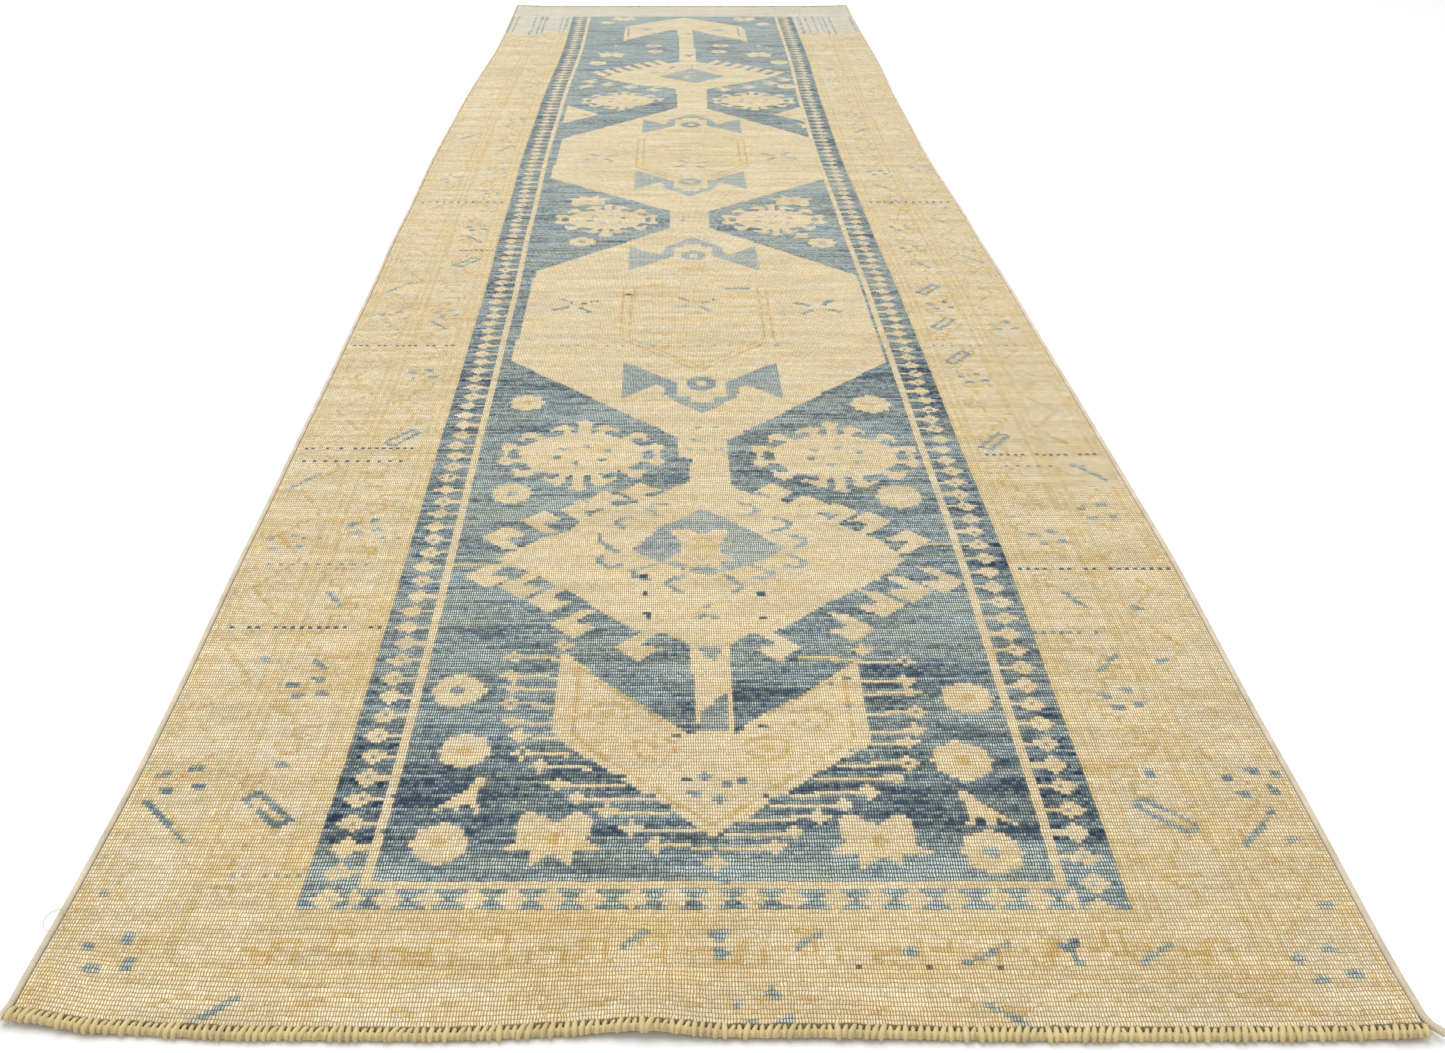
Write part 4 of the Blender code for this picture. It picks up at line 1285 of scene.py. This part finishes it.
OCTAGON_PLACES = {
    "near_neck": ((-0.134, 0.908), (0.158, 0.903), 0.094, 0.080),
    "middle_neck": ((-0.140, 1.850), (0.140, 1.850), 0.084, 0.076),
    "far_neck": ((-0.138, 2.748), (0.146, 2.748), 0.088, 0.078),
}
for neck, (left, right, half_wide, half_tall) in OCTAGON_PLACES.items():
    for side_name, (x, y) in (("left", left), ("right", right)):
        hooked_octagon(x, y, half_wide, half_tall)
        tuft(f"{neck}_octagon_{side_name}_pile", "cream_pile", cream_wool)


# The stars.
# Ivory stars of eight points, a pair at each end of the field and a pair by the far pole.

STAR = ((0.000, 0.019), (0.016, 0.034), (0.026, 0.030), (0.030, 0.012), (0.026, -0.003),
        (0.0395, -0.015), (0.016, -0.016), (0.016, -0.033), (0.000, -0.018))


def lobed_star(x, y, flip=1):
    """An ivory star of eight points with a gold heart. A flip of -1 turns it over."""
    knot(within([(x + a, y + flip * b) for a, b in mirrored(STAR)]), "cream")
    knot(some(disc(x, y, 0.0065, 0.0065), 0.8), "gold")


for x, y, flip in ((-0.121, 0.206, 1), (0.128, 0.203, 1), (-0.176, 1.962, -1),
                   (0.178, 1.962, -1), (-0.180, 3.260, -1), (0.182, 3.262, -1),
                   (-0.163, 3.757, 1), (0.166, 3.752, 1)):
    lobed_star(x, y, flip)
for row in ("near", "far_pole", "far"):
    for side_name in ("left", "right"):
        tuft(f"{row}_star_{side_name}_pile", "cream_pile", cream_wool)


# The blue field.
# Indigo wool, worn in streaks along the rows. Rosettes, birds and small stars are knotted
# straight into it in ivory.

BIRD = ((-0.020, -0.021), (-0.007, -0.004), (0.009, 0.011), (0.011, 0.023), (0.020, 0.025),
        (0.022, 0.017), (0.018, 0.011), (0.017, -0.008), (0.020, -0.023), (0.015, -0.023),
        (0.013, -0.012), (0.003, -0.010), (0.003, -0.020), (-0.002, -0.020), (-0.003, -0.011),
        (-0.012, -0.016))


def rosette(x, y, radius=0.0215, heart="gold"):
    """A round ivory flower with a small heart."""
    away = np.hypot(X - x, (Y - y) / 1.12)
    angle = np.arctan2(Y - y, X - x)
    knot(away < radius * (1 + 0.05 * np.cos(8 * angle)), "cream")
    knot(some(away < 0.0062, 0.8), heart)


for x, y, radius, heart in (
    (-0.206, 0.200, 0.0215, "gold"), (0.212, 0.190, 0.0225, "sky"), (-0.201, 0.321, 0.0210, "gold"),
    (0.208, 0.307, 0.0240, "gold"), (-0.217, 0.411, 0.0225, "sky"), (0.227, 0.400, 0.0225, "gold"),
    (-0.206, 0.805, 0.0215, "sky"), (0.218, 0.797, 0.0245, "cream"), (-0.209, 1.060, 0.0215, "gold"),
    (0.215, 1.056, 0.0240, "gold"), (-0.175, 1.725, 0.0210, "sky"), (0.210, 1.720, 0.0225, "sky"),
    (-0.216, 2.515, 0.0230, "gold"), (0.225, 2.515, 0.0215, "cream"), (-0.218, 2.885, 0.0215, "cream"),
    (0.226, 2.895, 0.0215, "gold"), (-0.210, 3.156, 0.0215, "gold"), (0.226, 3.165, 0.0215, "gold"),
    (-0.206, 3.700, 0.0190, "cream"), (0.212, 3.680, 0.0190, "cream"),
    (-0.072, 3.300, 0.0190, "gold"), (0.085, 3.300, 0.0190, "gold"),
):
    rosette(x, y, radius, heart)
for x, y, side in ((-0.200, 0.258, 1), (0.218, 0.243, -1), (-0.188, 3.352, 1), (0.202, 3.352, -1)):
    knot(within([(x + side * a, y + b) for a, b in BIRD]), "cream")
for x, y in ((-0.078, 3.375), (0.092, 3.378)):
    knot(disc(x, y, 0.020, 0.018), "cream")
    knot(disc(x, y, 0.008, 0.008), "slate")
for x, y in ((-0.140, 1.765), (0.180, 1.757)):
    knot(within([(x - 0.011, y - 0.012), (x + 0.011, y - 0.012), (x + 0.011, y + 0.012),
                 (x - 0.011, y + 0.012)]), "cream")
for side in (-1, 1):
    knot(within([(side * 0.256, 2.540), (side * 0.182, 2.616), (side * 0.256, 2.702)]), "cream")
    knot(some(disc(side * 0.215, 2.616, 0.008, 0.008), 0.8), "gold")
for place in ("near", "middle_left", "middle_right", "far"):
    tuft(f"field_{place}_pile", "blue_pile", blue_wool)


# The two selvedges.
# The outermost warps of each side are bundled into a cord, wound closely with grey-beige
# yarn. A white thread has been pulled out of the left one, and both curl up at the near end,
# the right one more.

def line_mesh(name, *lines):
    """Open lines as a mesh of edges. Each line is its points and how thick it is."""
    points, edges, thick = [], [], []
    for line, size in lines:
        start = len(points)
        points += [tuple(point) for point in line]
        edges += [(start + step, start + step + 1) for step in range(len(line) - 1)]
        thick += [size] * len(line)
    mesh = bpy.data.meshes.new(name)
    mesh.from_pydata(points, edges, [])
    mesh.attributes.new("thick", "FLOAT", "POINT").data.foreach_set("value", thick)
    return mesh


def wound_tree():
    """Nodes that wind yarn round a line: each turn stands proud, and leans to one side."""
    given, add, maths, chance, finish = new_tree(
        "wound_yarn", "Radius", "Pitch", "Rings", "Groove", "Uneven", "Lean")
    line = add("GeometryNodeMeshToCurve", (0, given["Geometry"]))
    step = maths("DIVIDE", given["Pitch"], given["Rings"])
    even = add("GeometryNodeResampleCurve", ("Curve", line), ("Length", step), mode="LENGTH")
    turn = maths("DIVIDE", add("GeometryNodeInputIndex"), given["Rings"])
    wave = maths("COSINE", maths("MULTIPLY", turn, math.tau))
    crest = maths("MULTIPLY_ADD", wave, 0.5)
    crest.node.inputs[2].default_value = 0.5
    thick = add("GeometryNodeInputNamedAttribute", ("Name", "thick"), data_type="FLOAT")
    sunk = maths("MULTIPLY", given["Groove"], maths("SUBTRACT", 1.0, crest))
    rough = maths("MULTIPLY", given["Uneven"], chance(0.0, 1.0, 0))
    size = maths("MULTIPLY", maths("MULTIPLY", given["Radius"], thick),
                 maths("SUBTRACT", maths("SUBTRACT", 1.0, sunk), rough))
    kept = add("GeometryNodeStoreNamedAttribute", ("Geometry", even), ("Name", "crest"),
               ("Value", crest), data_type="FLOAT", domain="POINT")
    place = add("GeometryNodeInputPosition")
    tangent = add("GeometryNodeInputTangent")
    for name, value in (("middle", place), ("run", tangent)):
        kept = add("GeometryNodeStoreNamedAttribute", ("Geometry", kept), ("Name", name),
                   ("Value", value), data_type="FLOAT_VECTOR", domain="POINT")
    ring = add("GeometryNodeCurvePrimitiveCircle", ("Resolution", 8), ("Radius", 1.0))
    tube = add("GeometryNodeCurveToMesh", ("Curve", kept), ("Profile Curve", ring),
               ("Scale", size), ("Fill Caps", True))
    middle, run = (
        add("GeometryNodeInputNamedAttribute", ("Name", name), data_type="FLOAT_VECTOR")
        for name in ("middle", "run"))
    away = add("ShaderNodeVectorMath", (0, place), (1, middle), operation="SUBTRACT")
    sideways = add("ShaderNodeVectorMath", (0, run), (1, (0, 0, 1)), operation="CROSS_PRODUCT")
    dot = tube.id_data.nodes.new("ShaderNodeVectorMath")
    dot.operation = "DOT_PRODUCT"
    tube.id_data.links.new(away, dot.inputs[0])
    tube.id_data.links.new(sideways, dot.inputs[1])
    lean = maths("MULTIPLY", dot.outputs["Value"], given["Lean"])
    offset = add("ShaderNodeVectorMath", (0, run), ("Scale", lean), operation="SCALE")
    leant = add("GeometryNodeSetPosition", ("Geometry", tube), ("Offset", offset))
    return finish(add("GeometryNodeSetShadeSmooth", ("Geometry", leant),
                      ("Shade Smooth", True)))


def wound_wool(name, proud, sunken_shade):
    """Spun wool, darker where one turn meets the next with painted shade, in uneven patches."""
    material, tree, surface, add = new_wool(name, 0.92)
    crest = add("ShaderNodeAttribute", attribute_name="crest")
    lint = fibres(add, scale=1100.0, along=1.0)
    place = add("ShaderNodeTexCoord").outputs["Object"]
    patch = add("ShaderNodeTexNoise", ("Vector", place), Scale=45.0, Detail=3.0)
    depth = add("ShaderNodeMath", (0, crest.outputs["Fac"]), (1, lint.outputs["Fac"]),
                operation="MULTIPLY_ADD")
    depth.inputs[2].default_value = 0.28
    body = add("ShaderNodeMix", (0, depth.outputs[0]), data_type="RGBA")
    body.inputs[6].default_value = (*sunken_shade, 1)
    body.inputs[7].default_value = (*proud, 1)
    shade = add("ShaderNodeMapRange", ("Value", patch.outputs["Fac"]), From_Min=0.3,
                From_Max=0.7, To_Min=0.82, To_Max=1.1)
    tree.links.new(shaded(add, body.outputs[2], shade), surface.inputs["Base Color"])
    bump = add("ShaderNodeBump", ("Height", lint.outputs["Fac"]), Distance=0.0006, Strength=0.7)
    tree.links.new(bump.outputs[0], surface.inputs["Normal"])
    return material


SELVEDGE_PITCH = 0.0023
# How long the curl at the near end is, and how far out and up it goes on each side
CORNER_CURL = 0.020
CURLS = {"left": (0.003, 0.001), "right": (0.007, 0.003)}
# The pulled thread: how thick it is beside the selvedge, its middle, and its reach each way
THREAD_SHARE = 0.11
THREAD_OUT, THREAD_ALONG, THREAD_HEIGHT = 0.0005, 0.108, 0.006
THREAD_REACH = (0.008, 0.011, 0.002)
wound = wound_tree()
# Its second colour is painted shade in the grooves between turns
selvedge_wool = wound_wool("selvedge_yarn", from_srgb(232, 220, 198), from_srgb(186, 168, 138))
side_alongs = np.linspace(0, LENGTH, EDGE_SAMPLES)
side_across = WIDTH / 2 - EDGE_RADIUS
for side_name, side in (("left", -1), ("right", 1)):
    places = in_place(side * side_across, side_alongs, EDGE_RADIUS)
    lines = [(places, 1.0)]
    curl = np.clip(1 - side_alongs / CORNER_CURL, 0, 1) ** 2
    curl_out, curl_up = CURLS[side_name]
    places[:, 0] += side * curl * curl_out
    places[:, 2] += curl * curl_up
    if side < 0:
        turns = np.linspace(0.25 * math.pi, 1.9 * math.pi, 16)
        thread = in_place(-side_across - THREAD_OUT + THREAD_REACH[0] * np.cos(turns),
                          THREAD_ALONG + THREAD_REACH[1] * np.sin(turns),
                          THREAD_HEIGHT + THREAD_REACH[2] * np.sin(turns))
        lines.append((thread, THREAD_SHARE))
    piece = new_piece(f"selvedge_{side_name}", line_mesh(f"selvedge_{side_name}", *lines))
    piece = apply_tree(piece, wound, Radius=EDGE_RADIUS, Pitch=SELVEDGE_PITCH, Rings=3.0,
                       Groove=0.10, Uneven=0.05, Lean=side * 0.25, Seed=3, Wool=selvedge_wool)
    finish_piece(piece, "selvedge_wool", f"selvedge_wrap_{side_name}",
                 f"selvedge_cord_{side_name}")


# The end rolls and their stitches.
# The cut warps are turned over into a roll at each end, and bound down with slanting
# stitches of straw wool. Between the stitches the needle has left small holes; at the near
# end their dark shade is painted, as a first row of knots in dark olive.

ROLL_RADIUS = 0.0031
ROLL_PITCH = 0.0041
STITCH_PITCH = 0.0049
STRAND_RADIUS = 0.0018
STITCH_REACH = 0.0050
STITCH_TALL = 0.0017
STITCH_SLANT = -0.26
STITCH_INSET = 0.0015
STITCH_RAISE = 0.0006


def stitch_tree():
    """Nodes that lay slanting stitches over a roll at even steps."""
    given, add, maths, chance, finish = new_tree(
        "whip_stitches", "Pitch", "Strand radius", "Reach", "Tall", "Slant", "Turn")
    line = add("GeometryNodeMeshToCurve", (0, given["Geometry"]))
    even = add("GeometryNodeResampleCurve", ("Curve", line), ("Length", given["Pitch"]),
               mode="LENGTH")
    arc = add("GeometryNodeCurveArc", ("Resolution", 9), ("Radius", 1.0),
              ("Start Angle", math.radians(12)), ("Sweep Angle", math.radians(205)),
              mode="RADIUS")
    size = add("ShaderNodeCombineXYZ", ("X", given["Reach"]), ("Y", given["Tall"]), ("Z", 1.0))
    upright = add("GeometryNodeTransform", ("Geometry", arc), ("Scale", size),
                  ("Rotation", (math.pi / 2, 0, math.pi / 2)))
    ring = add("GeometryNodeCurvePrimitiveCircle", ("Resolution", 6), ("Radius", 1.0))
    share = add("GeometryNodeSplineParameter")
    belly = maths("SINE", maths("MULTIPLY", share, math.pi))
    width = maths("MULTIPLY", given["Strand radius"],
                  maths("ADD", 0.75, maths("MULTIPLY", belly, 0.35)))
    # The crest marks the middle of each stitch; in the wool its ends take painted shade
    marked = add("GeometryNodeStoreNamedAttribute", ("Geometry", upright), ("Name", "crest"),
                 ("Value", belly), data_type="FLOAT", domain="POINT")
    strand = add("GeometryNodeCurveToMesh", ("Curve", marked), ("Profile Curve", ring),
                 ("Scale", width), ("Fill Caps", True))
    smooth = add("GeometryNodeSetShadeSmooth", ("Geometry", strand), ("Shade Smooth", True))
    slant = maths("ADD", given["Turn"], maths("MULTIPLY", given["Slant"], chance(-0.2, 1.8, 0)))
    turned = add("FunctionNodeEulerToRotation",
                 (0, add("ShaderNodeCombineXYZ", ("Z", slant))))
    stitches = add("GeometryNodeInstanceOnPoints", ("Points", even), ("Instance", smooth),
                   ("Rotation", turned), ("Scale", chance(0.80, 1.16, 1)))
    return finish(stitches)


stitches = stitch_tree()
# The second colours are painted shade: in the grooves of the roll, and at the ends of each stitch
roll_wool = wound_wool("roll_yarn", from_srgb(214, 194, 142), from_srgb(184, 162, 108))
stitch_wool = wound_wool("stitching_yarn", from_srgb(222, 204, 152), from_srgb(194, 172, 116))
across_places = np.linspace(-WOVEN_HALF_WIDTH, WOVEN_HALF_WIDTH, EDGE_SAMPLES)
for end_name, roll_along, over, turn in (("near", EDGE_RADIUS, STITCH_INSET, 0.0),
                                         ("far", LENGTH - EDGE_RADIUS, -STITCH_INSET, math.pi)):
    roll = new_piece(f"end_roll_{end_name}_yarn", line_mesh("roll", (
        in_place(across_places, roll_along, ROLL_RADIUS), 1.0)))
    roll = apply_tree(roll, wound, Radius=ROLL_RADIUS, Pitch=ROLL_PITCH, Rings=4.0, Groove=0.16,
                      Uneven=0.14, Lean=0.5, Seed=5, Wool=roll_wool)
    finish_piece(roll, "cord_wool", f"end_roll_{end_name}")
    whip = new_piece(f"end_stitches_{end_name}", line_mesh("whip", (
        in_place(across_places, roll_along + over, ROLL_RADIUS + STITCH_RAISE), 1.0)))
    whip = apply_tree(whip, stitches, Pitch=STITCH_PITCH, Strand_radius=STRAND_RADIUS,
                      Reach=STITCH_REACH, Tall=STITCH_TALL, Slant=STITCH_SLANT, Turn=turn,
                      Seed=11, Wool=stitch_wool)
    finish_piece(whip, "stitching_wool", f"end_stitching_{end_name}")


# The back of the cloth.
# Under the pile lies the woven ground. From below, each knot shows as two small bumps in the
# colour of its yarn, in rows held apart by the wefts.

BACK_STEP = 3
BACK_GHOST = 0.6


def back_mesh(name):
    """A closed slab over the whole woven ground, its corners on the knots' own lines."""
    lines = lattice_across[::BACK_STEP, ::BACK_STEP], lattice_along[::BACK_STEP, ::BACK_STEP]
    rows, columns = lines[0].shape
    top, bottom = (in_place(*lines, height).reshape(-1, 3)
                   for height in (BACKING_THICKNESS, 0.0))
    index = np.arange(rows * columns).reshape(rows, columns)
    cells = np.stack([index[:-1, :-1], index[:-1, 1:], index[1:, 1:], index[1:, :-1]],
                     axis=-1).reshape(-1, 4)
    rim = np.concatenate([index[0, :-1], index[:-1, -1], index[-1, :0:-1], index[:0:-1, 0]])
    after = np.roll(rim, -1)
    count = rows * columns
    walls = np.stack([after, rim, rim + count, after + count], axis=1)
    mesh = mesh_from_arrays(name, np.concatenate([top, bottom]),
                            [np.concatenate([cells, cells[:, ::-1] + count, walls])])
    colours = knot_colours()
    ivory = np.append(WORN[YARN_NAMES.index("ivory")], 0.0)
    blocks = colours.reshape(rows - 1, BACK_STEP, columns - 1, BACK_STEP, 4).mean(axis=(1, 3))
    ghost = blocks.reshape(-1, 4) * BACK_GHOST + ivory * (1 - BACK_GHOST)
    plain = np.tile(ivory, (len(cells), 1))
    of_faces = np.concatenate([plain, ghost, np.tile(ivory, (len(walls), 1))])
    write_colours(mesh, np.repeat(of_faces, 4, axis=0))
    grid = np.stack(np.meshgrid(np.arange(columns), np.arange(rows)), axis=-1).reshape(-1, 2)
    write_knot_map(mesh, np.concatenate([grid, grid]) * float(BACK_STEP))
    return mesh


# The back takes the pile's wool, with its painted shade in the gaps between the knots
back_wool = pile_wool("woven_back", 0.92)
backing = new_piece("woven_ground", back_mesh("woven_ground"))
backing.data.materials.append(back_wool)
finish_piece(backing, "foundation_wool", "foundation")


# The camera and the light.
# The runner lies on a plain pale floor under a large soft light, seen from its near end.

ROOM_STRENGTH = 0.72
FLOOR_REACH = 30
FLOOR_DROP = 0.0003
FLOOR_SHADE = (0.95, 0.95, 0.95, 1)
SOFTBOX_SIZE = (4.0, 6.0)
SOFTBOX_WATTS = 150
SOFTBOX_PLACE = (-0.9, 0.3, 3.8)
SOFTBOX_LEAN = math.radians(-12)
SENSOR_WIDTH = 36
LENS = 39.88
LENS_SHIFT = 0.0343
# Where the camera stands, across and along from the middle of the near end, and how high
CAMERA_ACROSS, CAMERA_ALONG, CAMERA_HEIGHT = -0.029, -0.7716, 0.7752
CAMERA_DIP = 27.251

world = bpy.data.worlds.new("pale_room")
bpy.context.scene.world = world
world.use_nodes = True
world.node_tree.nodes["Background"].inputs["Color"].default_value = (1, 1, 1, 1)
world.node_tree.nodes["Background"].inputs["Strength"].default_value = ROOM_STRENGTH

floor_mesh = bpy.data.meshes.new("floor")
floor_mesh.from_pydata([(x * FLOOR_REACH, y * FLOOR_REACH, 0)
                        for x, y in ((-1, -1), (1, -1), (1, 1), (-1, 1))], [], [(0, 1, 2, 3)])
floor = new_piece("floor", floor_mesh)
floor.location.z = -FLOOR_DROP
floor_paint = bpy.data.materials.new("floor_paint")
floor_paint.use_nodes = True
floor_surface = floor_paint.node_tree.nodes["Principled BSDF"]
floor_surface.inputs["Base Color"].default_value = FLOOR_SHADE
floor_surface.inputs["Roughness"].default_value = 0.9
floor_mesh.materials.append(floor_paint)

softbox = bpy.data.lights.new("softbox", "AREA")
softbox.shape = "RECTANGLE"
softbox.size, softbox.size_y = SOFTBOX_SIZE
softbox.energy = SOFTBOX_WATTS
softbox_lamp = bpy.data.objects.new("softbox", softbox)
softbox_lamp.location = SOFTBOX_PLACE
softbox_lamp.rotation_euler = (0, SOFTBOX_LEAN, 0)
bpy.context.scene.collection.objects.link(softbox_lamp)

camera_data = bpy.data.cameras.new("camera")
camera_data.sensor_width = SENSOR_WIDTH
camera_data.lens = LENS
camera_data.shift_x = LENS_SHIFT
camera_data.clip_start = 0.01
camera = bpy.data.objects.new("camera", camera_data)
camera.location = (CAMERA_ACROSS - MIDDLE_X, CAMERA_ALONG - MIDDLE_Y, CAMERA_HEIGHT)
camera.rotation_euler = (math.radians(90 - CAMERA_DIP), 0, 0)
bpy.context.scene.collection.objects.link(camera)
bpy.context.scene.camera = camera
bpy.context.scene.view_settings.view_transform = "Standard"
